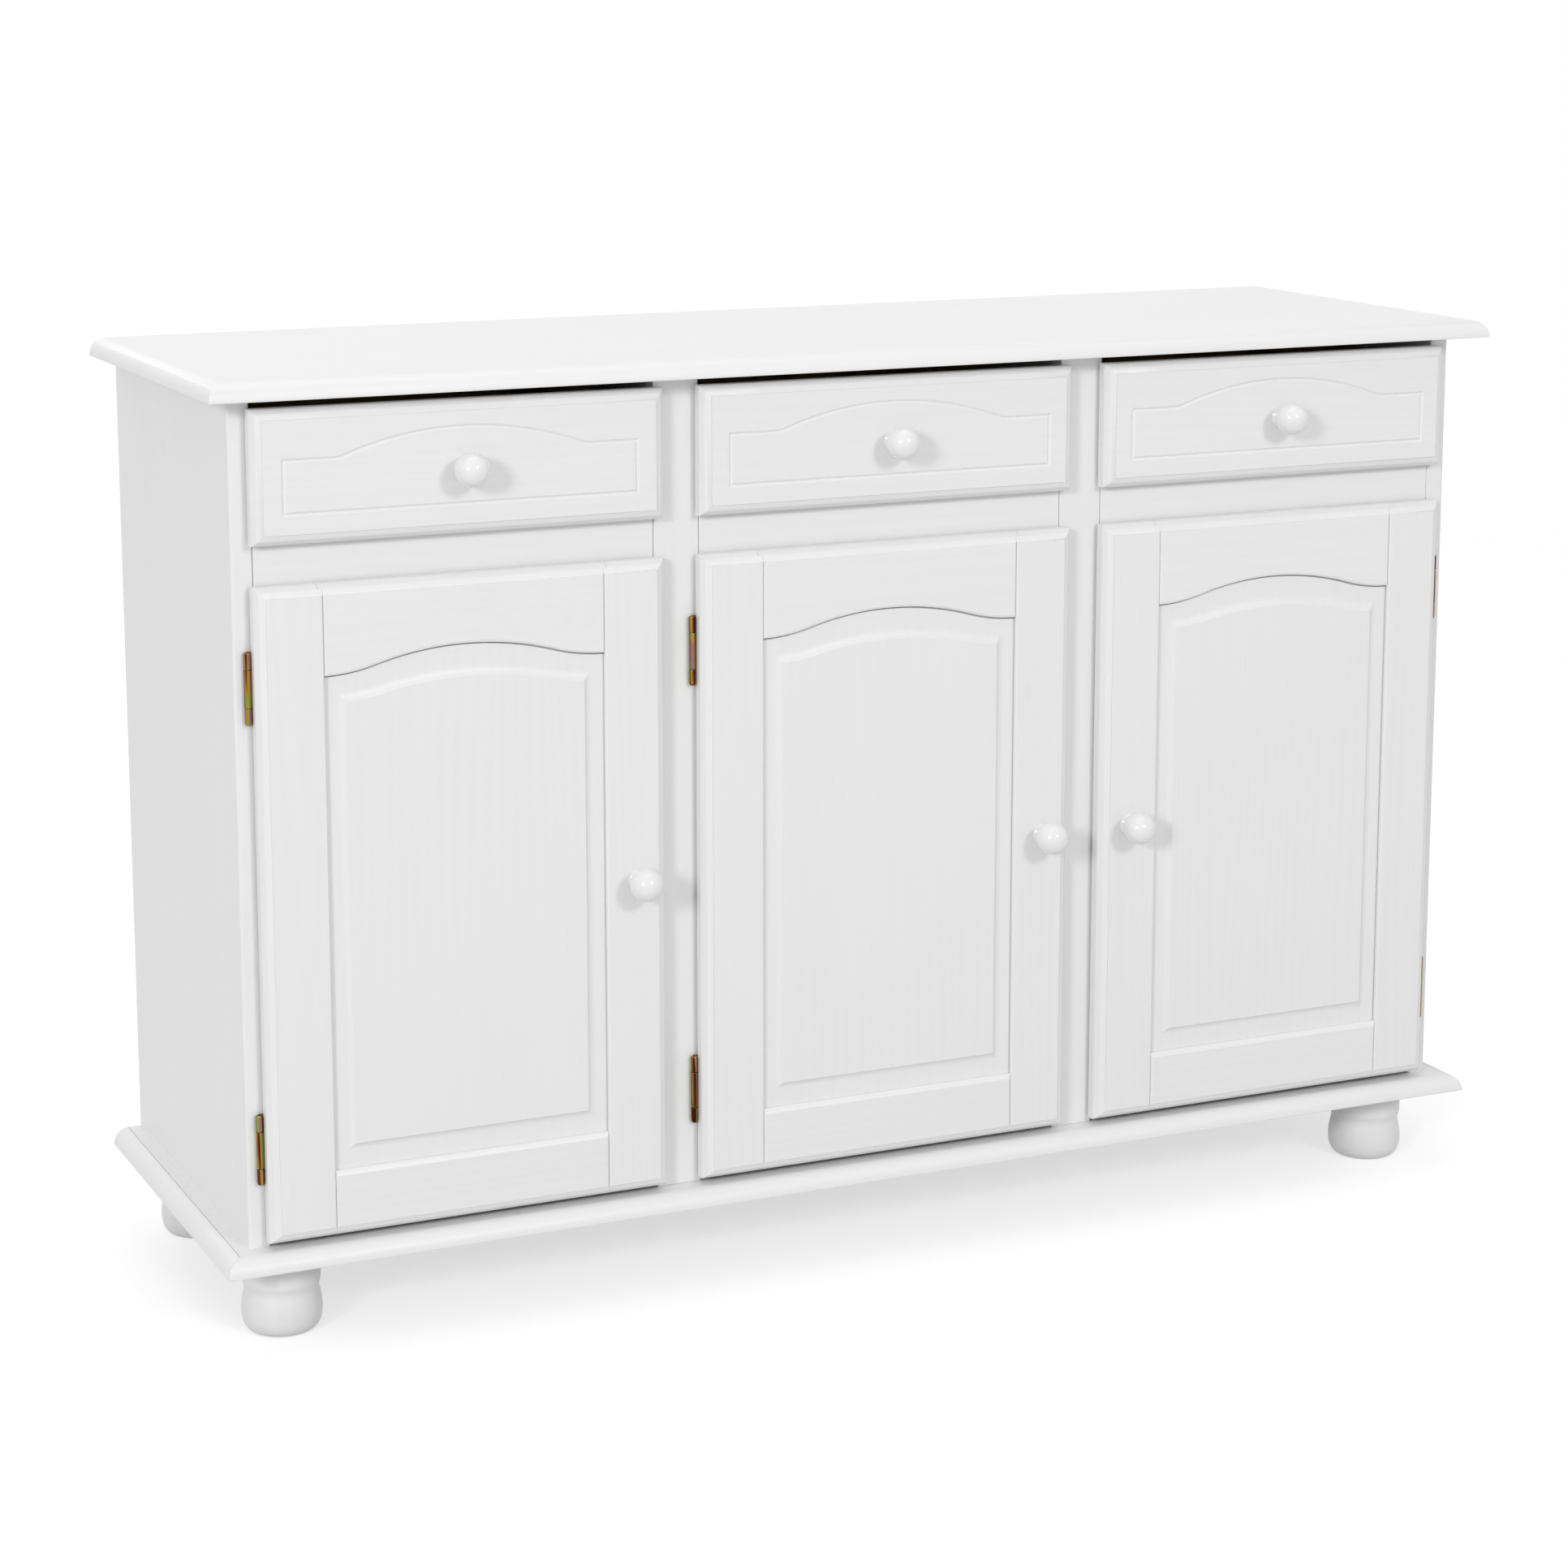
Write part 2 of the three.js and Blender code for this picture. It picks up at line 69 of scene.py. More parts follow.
# The inner edges of a door's stiles, top rail and bottom rail, with the groove for the panel
STILE_BEVEL = [(0, 16.5), (0, 12.4), (3.3, 12.3), (3.3, 3.7), (0, 3.6), (0, 1.7), (0.15, 1.1),
               (0.75, 0.35), (1.5, 0)]
ARCH_BEVEL = [(0, 16.5), (0, 12.4), (3.3, 12.3), (3.3, 4.6), (0, 4.5), (0, 1.9), (0.1, 1.2),
              (0.35, 0.85), (1.6, 0.4), (1.8, 0.1), (2.0, 0)]
LOW_BEVEL = [(0, 16.5), (0, 12.4), (3.3, 12.3), (3.3, 4.7), (0, 4.6), (0, 3.0), (0.5, 2.1),
             (2.2, 0.95), (4.1, 0.1), (4.4, 0)]
# A door panel's front: a narrow recess under the arch, then the slope up to the raised field
PANEL_RECESS = [(1.5, 7.2), (1.6, 5.0), (1.75, 4.8)]
FIELD_SLOPE = [(0, 4.8), (1.3, 4.74), (2.6, 4.55), (3.9, 4.2), (5.1, 3.75), (6.2, 3.15), (7.1, 2.45),
               (7.7, 1.85), (8.1, 1.3)]
# The V-shaped groove cut in a drawer front
GROOVE_SECTION = [(0, 0), (0.06, 0.04), (1.7, 1.3), (1.9, 1.4), (2.1, 1.3), (3.74, 0.04), (3.8, 0)]

END_STRIP = BOARD_EDGE[-1][0]        # the width of the moulding along a board's end
LEAF_THICKNESS = LEAF_EDGE[0][1]

# Arched outlines: a small arc `blend` wide leads into a wide arc, and together they rise by `rise`
DOOR_ARCH = dict(blend=43, rise=17.5)
FIELD_ARCH = dict(blend=38, rise=12.5)
FIELD_FOOT = dict(side=10, top=14, bottom=13)    # from the frame to the foot of the field's slope
PANEL_BACK, PANEL_OVERLAP = 12.0, 3.0
RECESS_AT_SIDES = 0.05               # how much of the recess's inset the panel's other edges take
DRAWER_GROOVE = dict(side=23.5, bottom=23, shoulder=69, arch=108, blend=8, rise=19.5)
RAIL_HEIGHT, RAIL_DEPTH, OVERLAY, JOINT_GAP = 42, 18, 4, 0.5
RUNNER = dict(reach=20, height=20)
BOX_WALL, BOX_BOTTOM, BOX_BOTTOM_RISE, BOX_GROOVE = 12, 4, 7, 4    # of a drawer's box

# Hinge sizes: distances are from the hinge line, towards the door's free side or the back
HINGE_RADIUS, HINGE_KNUCKLE, HINGE_LEAF = 3.0, 14.25, 1.0
KNUCKLE_PLAY, KNUCKLE_WRAP, PLATE_START = 0.5, 4, 3.3
FLANGE_BACK, CRANK_EDGE = 3.25, 7.25
PIN_RADIUS, PIN_CHAMFER = 1.5, 0.4
LEAF_CORNER, CORNER_STEPS = 3.0, 6
HINGE_SCREW = dict(radius=2.7, from_end=10, frame_depth=12, door_reach=16)

# The magnetic catch: sizes from the middle of the door's free stile and from the rail above it
CATCH = dict(half=21, front=1.5, back=15, height=12.5)
POLE = dict(half=14, front=1.1, back=3, thick=1.6, drops=(9.5, 4.5))
STRIKE = dict(half=17, low=12, high=0.5, thick=1, screw_at=12, screw_drop=6, screw_radius=2.2)

# Turned pieces: (radius, distance along the axis)
FOOT_PROFILE = [(23, 0), (27.2, 1.1), (30.8, 4.8), (32.8, 10), (33.5, 16.5), (33.2, 23),
                (32.1, 29.5), (31.0, 34.6), (31.1, 38), (32.1, 41.5), (32.5, 45), (32.5, 57), (32.5, 71)]
KNOB_NECK = [(8.6, 0), (9.0, 0.35), (9.0, 1.1), (8.5, 1.7), (7.5, 2.4), (6.5, 3.3), (5.95, 4.4),
             (5.75, 5.3)]
KNOB_FILLET = 0.25                   # the ball starts this much wider than the neck's end
KNOB_SCREW_HEAD = [(4.2, 0), (4.2, 0.8), (3.6, 1.8), (2.2, 2.5), (0, 2.7)]
NAIL_HEAD = [(2.1, 0), (2.0, 0.3), (1.5, 0.6), (0.7, 0.75), (0, 0.8)]
SHELF_PIN = [(3.6, 0), (3.6, 1.2), (2.5, 1.8), (2.5, 8.0), (2.2, 8.8), (1.4, 9.2), (0, 9.3)]
SHELF_PIN_PLACE = dict(gap=1, from_edge=35, drop=3.65)     # from the shelf's ends, edges, underside

# How every piece's mesh is finished
MERGE_DISTANCE = 1e-6                # metres
BEVEL_STEPS, BEVEL_ANGLE = 3, 40     # where faces turn by more than this angle, in degrees


# ---- Shapes -----------------------------------------------------------------------------------

class Shape:
    """The points and faces of one piece, in millimetres until the piece is made."""

    def __init__(self):
        self.points = []
        self.faces = []

    def ring(self, points):
        """Adds points and gives their numbers."""
        first = len(self.points)
        self.points += [tuple(p) for p in points]
        return list(range(first, len(self.points)))

    def bridge(self, low, high):
        """A band of faces between two rings."""
        for i in range(len(low)):
            j = (i + 1) % len(low)
            self.faces.append((low[i], low[j], high[j], high[i]))

    def loft(self, rings):
        """A closed solid through rings of equally many points, with a flat cap at each end."""
        made = [self.ring(r) for r in rings]
        for low, high in zip(made, made[1:]):
            self.bridge(low, high)
        self.faces.append(tuple(reversed(made[0])))
        self.faces.append(tuple(made[-1]))
        return self

    def block(self, lo, hi):
        (x0, y0, z0), (x1, y1, z1) = lo, hi
        plan = [(x0, y0), (x1, y0), (x1, y1), (x0, y1)]
        return self.loft([[(x, y, z) for x, y in plan] for z in (z0, z1)])

    def turned(self, profile, centre, axis, segments):
        """A profile of (radius, distance along the axis) turned about the axis."""
        out = Vector(axis).normalized()
        side = out.orthogonal().normalized()
        other = out.cross(side)
        rings = []
        for radius, along in profile:
            rings.append([
                Vector(centre) + out * along
                + (side * math.cos(a) + other * math.sin(a)) * radius
                for a in (2 * math.pi * k / segments for k in range(segments))
            ])
        return self.loft(rings)


def corners(node):
    """A CAD node's lowest and highest corners, in millimetres."""
    lo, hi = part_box(node)
    return lo / MM, hi / MM


def smooth(points, steps=5):
    """More points along a smooth curve through the given ones."""
    ends = [points[0], *points, points[-1]]
    made = []
    for a, b, c, d in zip(ends, ends[1:], ends[2:], ends[3:]):
        for k in range(steps):
            t = k / steps
            made.append(tuple(
                0.5 * (2 * q + (r - p) * t + (2 * p - 5 * q + 4 * r - s) * t * t
                       + (3 * q - p - 3 * r + s) * t ** 3)
                for p, q, r, s in zip(a, b, c, d)))
    return made + [points[-1]]


def at(profile, depth):
    """The inset of a profile of (inset, depth) at a depth, where depth falls along the profile."""
    if depth >= profile[0][1]:
        return profile[0][0]
    for (i0, d0), (i1, d1) in zip(profile, profile[1:]):
        if d1 <= depth <= d0:
            return i1 if d0 == d1 else i0 + (i1 - i0) * (d0 - depth) / (d0 - d1)
    return profile[-1][0]


def depths(*profiles):
    """Every depth that any of the profiles names, from the back to the face."""
    found = {d for profile in profiles for _, d in profile} | {LEAF_THICKNESS}
    return sorted(found, reverse=True)


def arch_line(side, shoulder, arch, blend, rise, inset=0.0):
    """The top of an arched outline, from +side to -side, as (x, height). Small arcs curve up from
    the shoulders at +-arch and meet one wide arc. `inset` draws the line that much lower. `turn` is
    the slope where the arcs meet."""
    turn = 2 * math.atan(rise / arch)
    blend_radius = blend / math.sin(turn) + inset
    arch_radius = (arch - blend) / math.sin(turn) - inset
    blend_centre = shoulder + blend / math.sin(turn)
    arch_centre = shoulder + rise - (arch - blend) / math.sin(turn)
    start = min(side, arch)
    join = arch - blend_radius * math.sin(turn)

    def height(x):
        x = abs(x)
        if x <= join:
            return arch_centre + math.sqrt(arch_radius ** 2 - x * x)
        if x >= arch:
            return blend_centre - blend_radius
        return blend_centre - math.sqrt(blend_radius ** 2 - (arch - x) ** 2)

    steps_blend, steps_arch = 14, 40
    half = [side]
    half += [start + (join - start) * k / steps_blend for k in range(steps_blend)]
    across = [join - 2 * join * k / steps_arch for k in range(steps_arch + 1)]
    xs = half + across + [-x for x in reversed(half)]
    return [(x, height(x)) for x in xs]


def arched(side, low, line):
    """A closed outline: the bottom corners, then the arched top from right to left."""
    return [(-side, low), (side, low)] + line


# ---- Pieces -----------------------------------------------------------------------------------

def write_grain(mesh, along, name):
    """Stores where each vertex is in the timber: along the grain, across it and into it. Each piece
    comes from another place in the timber, in metres."""
    shuffle = random.Random(name)
    offset = [shuffle.uniform(-4, 4), shuffle.uniform(-0.02, 0.02), shuffle.uniform(-0.01, 0.02)]
    plank_spacing = 0.9
    offset[1] += shuffle.randrange(-8, 8) * plank_spacing
    order = {"x": (0, 2, 1), "z": (2, 0, 1), "y": (1, 0, 2), "xy": (0, 1, 2), "zy": (2, 1, 0),
             "yz": (1, 2, 0)}[along]
    attribute = mesh.attributes.new("grain", "FLOAT_VECTOR", "POINT")
    for vertex, item in zip(mesh.vertices, attribute.data):
        item.vector = [vertex.co[axis] + shift for axis, shift in zip(order, offset)]


def piece(name, shape, material, body, nodes=(), grain="z", bevel=0.0, sharp=32.0):
    """Makes the object of a piece and puts it on its body. It replaces the given CAD nodes."""
    mesh = bpy.data.meshes.new(name)
    mesh.from_pydata([[c * MM for c in p] for p in shape.points], [], shape.faces)
    work = bmesh.new()
    work.from_mesh(mesh)
    bmesh.ops.remove_doubles(work, verts=work.verts, dist=MERGE_DISTANCE)
    bmesh.ops.recalc_face_normals(work, faces=work.faces)
    work.to_mesh(mesh)
    work.free()
    mesh.polygons.foreach_set("use_smooth", [True] * len(mesh.polygons))
    mesh.set_sharp_from_angle(angle=math.radians(sharp))
    mesh.materials.append(material)
    write_grain(mesh, grain, name)
    obj = bpy.data.objects.new(name, mesh)
    scene.collection.objects.link(obj)
    if bevel:
        rounding = obj.modifiers.new("rounding", "BEVEL")
        rounding.width = bevel * MM
        rounding.segments = BEVEL_STEPS
        rounding.limit_method = "ANGLE"
        rounding.angle_limit = math.radians(BEVEL_ANGLE)
    weighted = obj.modifiers.new("weighted", "WEIGHTED_NORMAL")
    weighted.keep_sharp = True
    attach(obj, body)
    if nodes:
        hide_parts(*nodes)


def finished(node, shape, material, body, **look):
    """Makes the piece that takes the place of one CAD node."""
    piece(node + "_finished", shape, material, body, [node], **look)


# ---- Materials --------------------------------------------------------------------------------

class Graph:
    """A material's nodes, made and linked by short calls."""

    def __init__(self, name):
        self.material = bpy.data.materials.new(name)
        self.material.use_nodes = True
        self.tree = self.material.node_tree
        self.shader = self.tree.nodes["Principled BSDF"]

    def node(self, kind, inputs=None, **settings):
        """A new node, each of whose inputs is linked to a socket or set to a value."""
        made = self.tree.nodes.new(kind)
        for key, value in settings.items():
            setattr(made, key, value)
        for key, value in (inputs or {}).items():
            if isinstance(value, bpy.types.NodeSocket):
                self.tree.links.new(value, made.inputs[key])
            else:
                made.inputs[key].default_value = value
        return made

    def math(self, operation, a, b=0.0, c=0.0):
        """The named operation on a and b. MULTIPLY_ADD gives a * b + c."""
        return self.node("ShaderNodeMath", {0: a, 1: b, 2: c}, operation=operation).outputs[0]

    def vector(self, operation, a, b=(0, 0, 0)):
        """The named operation on vectors a and b."""
        made = self.node("ShaderNodeVectorMath", {0: a, 1: b}, operation=operation)
        return made.outputs["Value" if operation in ("LENGTH", "DOT_PRODUCT") else "Vector"]

    def noise(self, coords, scale, detail=2.0, rough=0.5):
        """Smooth noise, with `scale` blobs per metre along the grain, across it and into it."""
        where = self.vector("MULTIPLY", coords, scale)
        inputs = {"Vector": where, "Scale": 1.0, "Detail": detail, "Roughness": rough}
        return self.node("ShaderNodeTexNoise", inputs).outputs["Fac"]

    def ramp(self, value, low, high, to_low=0.0, to_high=1.0):
        """A smooth step from to_low where the value is low to to_high where it is high."""
        inputs = {0: value, 1: low, 2: high, 3: to_low, 4: to_high}
        made = self.node("ShaderNodeMapRange", inputs, interpolation_type="SMOOTHSTEP")
        return made.outputs[0]

    def mix(self, share, a, b):
        """Colour a where the share is 0, and colour b where it is 1."""
        return self.node("ShaderNodeMix", {0: share, 6: a, 7: b}, data_type="RGBA").outputs[2]

    def set(self, **inputs):
        """Sets the shader's inputs, whose names are written here in lower case."""
        for key, value in inputs.items():
            socket = self.shader.inputs[key.replace("_", " ").title().replace("Ior", "IOR")]
            if isinstance(value, bpy.types.NodeSocket):
                self.tree.links.new(value, socket)
            else:
                socket.default_value = value

    def bump(self, height, distance, strength):
        """Relief of a height of 0 to 1, `distance` metres deep."""
        inputs = {"Height": height, "Distance": distance, "Strength": strength}
        return self.node("ShaderNodeBump", inputs).outputs["Normal"]


def colour(r, g, b):
    return (r, g, b, 1.0)


def place_in_timber(graph):
    """Where a point is along the grain, across it and into it, in metres."""
    return graph.node("ShaderNodeAttribute", attribute_name="grain").outputs["Vector"]


def knots(graph, grain):
    """Each knot's dark middle, and the wider swirl of the rings round it. Knots lie about in cells
    of the timber, and only the cells over a threshold have one."""
    cells_per_metre = (2.6, 8.0, 2.0)
    stretch = (0.7, 1, 0.2)                    # below 1, a knot is longer that way
    threshold, core_radius, edge_radius, swirl_radius = 0.62, 0.005, 0.0105, 0.05
    where = graph.vector("MULTIPLY", grain, cells_per_metre)
    cells = graph.node("ShaderNodeTexVoronoi", {"Vector": where, "Scale": 1.0})
    away = graph.vector("SUBTRACT", where, cells.outputs["Position"])
    to_metres = tuple(share / rate for share, rate in zip(stretch, cells_per_metre))
    distance = graph.vector("LENGTH", graph.vector("MULTIPLY", away, to_metres))
    chance = graph.node("ShaderNodeSeparateColor", {"Color": cells.outputs["Color"]}).outputs[0]
    present = graph.ramp(chance, threshold, threshold + 0.02)
    knot = graph.math("MULTIPLY", graph.ramp(distance, edge_radius, core_radius), present)
    swirl = graph.math("MULTIPLY", graph.ramp(distance, swirl_radius, 0.0), present)
    return knot, swirl


def timber(graph):
    """Growth rings, fine fibres and a few knots, from the piece's place in its timber."""
    pith_across, pith_into = 0.11, 0.06        # half the metres from one pith to the next
    ring_rate = 620.0                          # radians of the rings' wave for each metre
    swirl_turn, wander_turn = 14.0, 17.0       # radians
    grain = place_in_timber(graph)
    knot, swirl = knots(graph, grain)
    along, across, into = graph.node("ShaderNodeSeparateXYZ", {"Vector": grain}).outputs
    drift = graph.noise(grain, (1.3, 7.0, 7.0), detail=1.0)
    across = graph.math("PINGPONG", across, pith_across)
    across = graph.math("MULTIPLY_ADD", drift, 0.05, across)
    into = graph.math("MULTIPLY_ADD", along, 0.02, into)
    into = graph.math("PINGPONG", graph.math("ADD", into, 0.02), pith_into)
    square = graph.math("MULTIPLY", into, into)
    radius = graph.math("SQRT", graph.math("MULTIPLY_ADD", across, across, square))
    wander = graph.noise(grain, (1.6, 34.0, 34.0))
    phase = graph.math("MULTIPLY_ADD", radius, ring_rate, graph.math("MULTIPLY", swirl, swirl_turn))
    phase = graph.math("MULTIPLY_ADD", wander, wander_turn, phase)
    wave = graph.math("MULTIPLY_ADD", graph.math("SINE", phase), 0.5, 0.5)
    rings = graph.math("POWER", wave, 2.0)
    fibre = graph.noise(grain, (9.0, 800.0, 800.0), detail=3.0, rough=0.6)
    return grain, rings, fibre, knot


def near_edge(graph, radius):
    """Near 1 within `radius` metres of an edge, 0 on flat faces."""
    soft = graph.node("ShaderNodeBevel", {"Radius": radius}, samples=4).outputs["Normal"]
    true = graph.node("ShaderNodeNewGeometry").outputs["Normal"]
    flat, edge = 0.985, 0.90
    return graph.ramp(graph.vector("DOT_PRODUCT", soft, true), flat, edge)


def lacquer_material():
    light, dark = colour(0.848, 0.848, 0.848), colour(0.828, 0.828, 0.827)
    # The lighter edge colour is a painted highlight along the edges; the darker knot colour is knots
    # showing through the paint.
    over_knots, edge_colour = colour(0.75, 0.74, 0.72), colour(0.87, 0.868, 0.86)
    graph = Graph("white_lacquer_finish")
    grain, rings, fibre, knot = timber(graph)
    tone = graph.noise(grain, (2.0, 14.0, 14.0))
    figure = graph.math("MULTIPLY_ADD", rings, 0.3, graph.math("MULTIPLY", fibre, 0.5))
    figure = graph.math("MULTIPLY_ADD", tone, 0.9, figure)
    painted = graph.mix(graph.ramp(figure, 0.3, 1.3), light, dark)
    painted = graph.mix(graph.math("MULTIPLY", knot, 0.3), painted, over_knots)
    # Along every edge the colour turns lighter, a painted highlight, and the roughness drops a little.
    edge_share = near_edge(graph, 0.0012)
    painted = graph.mix(graph.math("MULTIPLY", edge_share, 0.2), painted, edge_colour)
    skin = graph.noise(grain, (260.0, 420.0, 420.0))
    sheen = graph.math("MULTIPLY_ADD", fibre, 0.12, graph.math("MULTIPLY_ADD", skin, 0.08, 0.34))
    sheen = graph.math("MULTIPLY_ADD", edge_share, -0.06, sheen)
    height = graph.math("MULTIPLY_ADD", rings, 0.3, graph.math("MULTIPLY", fibre, 0.8))
    height = graph.math("MULTIPLY_ADD", skin, 0.4, height)
    height = graph.math("MULTIPLY_ADD", knot, 0.8, height)
    graph.set(base_color=painted, roughness=sheen, normal=graph.bump(height, 0.00003, 0.2))
    graph.set(coat_weight=0.1, coat_roughness=0.3)
    return graph.material


def gloss_material():
    light, dark = colour(0.85, 0.85, 0.85), colour(0.83, 0.83, 0.828)
    # The lighter edge colour is a painted highlight along the edges.
    edge_colour = colour(0.87, 0.87, 0.865)
    graph = Graph("gloss_white_lacquer_finish")
    grain = place_in_timber(graph)
    tone = graph.noise(grain, (60.0, 60.0, 60.0))
    skin = graph.noise(grain, (500.0, 500.0, 500.0))
    painted = graph.mix(tone, light, dark)
    # Along every edge the colour turns lighter: a painted highlight.
    edge_share = near_edge(graph, 0.001)
    painted = graph.mix(graph.math("MULTIPLY", edge_share, 0.2), painted, edge_colour)
    graph.set(base_color=painted, roughness=graph.math("MULTIPLY_ADD", skin, 0.08, 0.14),
              normal=graph.bump(skin, 0.00004, 0.3))
    graph.set(coat_weight=0.35, coat_roughness=0.08)
    return graph.material


def pine_material():
    early_light, early_dark, late = (colour(0.72, 0.50, 0.27), colour(0.63, 0.41, 0.20),
                                     colour(0.44, 0.22, 0.085))
    pale_fibre, in_knots, edge_colour = (colour(0.78, 0.60, 0.36), colour(0.17, 0.07, 0.028),
                                        colour(0.80, 0.60, 0.37))
    graph = Graph("raw_pine_finish")
    grain, rings, fibre, knot = timber(graph)
    early = graph.mix(graph.noise(grain, (3.0, 20.0, 20.0), detail=3.0), early_light, early_dark)
    wood = graph.mix(graph.math("MULTIPLY", rings, 0.55), early, late)
    wood = graph.mix(graph.ramp(fibre, 0.45, 0.75, 0.0, 0.25), wood, pale_fibre)
    wood = graph.mix(graph.math("MULTIPLY", knot, 0.8), wood, in_knots)
    edge_share = near_edge(graph, 0.0015)
    wood = graph.mix(graph.math("MULTIPLY", edge_share, 0.3), wood, edge_colour)
    height = graph.math("MULTIPLY_ADD", rings, 0.6, fibre)
    graph.set(base_color=wood, roughness=graph.math("MULTIPLY_ADD", fibre, 0.2, 0.48),
              normal=graph.bump(height, 0.00018, 0.6))
    return graph.material


def board_material():
    light, dark = colour(0.80, 0.797, 0.785), colour(0.775, 0.772, 0.757)
    bare_fibre, edge_colour = colour(0.62, 0.60, 0.56), colour(0.50, 0.38, 0.26)
    graph = Graph("back_board_finish")
    grain = place_in_timber(graph)
    fuzz = graph.noise(grain, (420.0, 420.0, 420.0), detail=4.0, rough=0.7)
    cloud = graph.noise(grain, (6.0, 6.0, 6.0), detail=3.0)
    face = graph.mix(graph.ramp(cloud, 0.3, 0.7), light, dark)
    face = graph.mix(graph.ramp(fuzz, 0.55, 0.8, 0.0, 0.3), face, bare_fibre)
    edge_share = near_edge(graph, 0.0012)
    face = graph.mix(graph.math("MULTIPLY", edge_share, 0.5), face, edge_colour)
    graph.set(base_color=face, roughness=graph.math("MULTIPLY_ADD", fuzz, 0.2, 0.5),
              normal=graph.bump(fuzz, 0.00012, 0.5))
    return graph.material


def zinc_material():
    """Zinc with a yellow passivation film, whose thickness turns it brown, green, rust and mauve."""
    film_colours = [(0.34, (0.04, 0.010, 0.008)), (0.42, (0.20, 0.045, 0.018)),
                    (0.465, (0.40, 0.20, 0.03)), (0.50, (0.13, 0.27, 0.035)),
                    (0.54, (0.33, 0.30, 0.06)), (0.58, (0.36, 0.12, 0.10)),
                    (0.66, (0.26, 0.15, 0.21))]
    bare_zinc = colour(0.60, 0.55, 0.44)
    graph = Graph("zinc_hinge_finish")
    grain = place_in_timber(graph)
    film = graph.noise(grain, (10.0, 290.0, 290.0), rough=0.45)
    scratch = graph.noise(grain, (1500.0, 160.0, 1500.0))
    shades = graph.node("ShaderNodeValToRGB", {"Fac": film})
    bands = shades.color_ramp.elements
    for band, (position, shade) in zip(bands, (film_colours[0], film_colours[-1])):
        band.position, band.color = position, colour(*shade)
    for position, shade in film_colours[1:-1]:
        bands.new(position).color = colour(*shade)
    edge_share = near_edge(graph, 0.0005)
    plated = graph.mix(graph.math("MULTIPLY", edge_share, 0.35), shades.outputs["Color"], bare_zinc)
    graph.set(base_color=plated, roughness=graph.math("MULTIPLY_ADD", scratch, 0.2, 0.22),
              normal=graph.bump(scratch, 0.00003, 0.4))
    graph.set(metallic=1.0)
    return graph.material


lacquer = lacquer_material()
gloss = gloss_material()
pine = pine_material()
hardboard = board_material()
zinc = zinc_material()


# ---- Carcass ----------------------------------------------------------------------------------

def moulded_board(node):
    """A board whose upper edge is rounded at the front and both ends, mitred at the corners."""
    lo, hi = corners(node)
    rings = []
    for inset, depth in BOARD_EDGE:
        x0, x1, y0, z = lo.x + inset, hi.x - inset, lo.y + inset, hi.z - depth
        rings.append([(x0, hi.y, z), (x0, y0, z), (x1, y0, z), (x1, hi.y, z)])
    return Shape().loft(rings)


def board_body(node):
    """The board between its end mouldings. Its front edge is moulded, with mitred ends."""
    lo, hi = corners(node)
    rings = []
    for inset, depth in BOARD_EDGE:
        z, front, seam = hi.z - depth, lo.y + inset, lo.y + END_STRIP
        half = [(lo.x + END_STRIP, hi.y, z), (lo.x + END_STRIP, seam, z), (lo.x + inset, front, z)]
        rings.append(half + [(lo.x + hi.x - x, y, z) for x, y, z in reversed(half)])
    return Shape().loft(rings)


def end_moulding(node, side):
    """The moulding along an end of a board, mitred at the front."""
    lo, hi = corners(node)
    outer = lo.x if side < 0 else hi.x
    inner = END_STRIP - JOINT_GAP
    upper_edge = 0.05        # the top ring stays this wide, so that its corners do not merge
    mitre_gap = 0.3          # as a share of the joint gap
    rings = []
    for inset, depth in [p for p in BOARD_EDGE if p[0] < inner] + [(inner - upper_edge, 0)]:
        gap = min(JOINT_GAP, inner - inset) * mitre_gap
        plan = [(inner, hi.y), (inner, lo.y + END_STRIP), (inset, lo.y + inset + gap),
                (inset, hi.y)]
        rings.append([(outer - side * x, y, hi.z - depth) for x, y in plan])
    return Shape().loft(rings)


def side_panel(node, side):
    """A side of the carcass: rounded front edges, and a rebate for the back panel."""
    lo, hi = corners(node)
    outer, inner = (lo.x, hi.x) if side < 0 else (hi.x, lo.x)
    rebate_front = corners("back_panel")[0].y
    rebate_width, radius, steps, chamfer = 9, 3.0, 6, 0.8
    rebate = inner + side * rebate_width
    plan = []
    for k in range(steps + 1):
        a = math.pi / 2 * k / steps
        plan.append((outer - side * radius * (1 - math.cos(a)), lo.y + radius * (1 - math.sin(a))))
    plan += [(inner + side * chamfer, lo.y), (inner, lo.y + chamfer), (inner, rebate_front),
             (rebate, rebate_front), (rebate, hi.y), (outer, hi.y)]
    return Shape().loft([[(x, y, z) for x, y in plan] for z in (lo.z, hi.z)])


def nails():
    """Small domed nail heads along the back panel's edges and the lines of the partitions."""
    lo, hi = corners("back_panel")
    side_inset, end_inset, rows = 5, 20, 8
    columns = [lo.x + side_inset, hi.x - side_inset]
    columns += [sum(c.x for c in corners(n + "_partition")) / 2 for n in ("left", "right")]
    spacing = (hi.z - lo.z - 2 * end_inset) / (rows - 1)
    shape = Shape()
    for x in columns:
        for k in range(rows):
            shape.turned(NAIL_HEAD, (x, hi.y, lo.z + end_inset + spacing * k), (0, 1, 0), 14)
    return shape


def foot(node):
    """A turned bun foot."""
    lo, hi = corners(node)
    middle = (lo + hi) / 2
    return Shape().turned(smooth(FOOT_PROFILE), (middle.x, middle.y, lo.z), (0, 0, 1), 72)


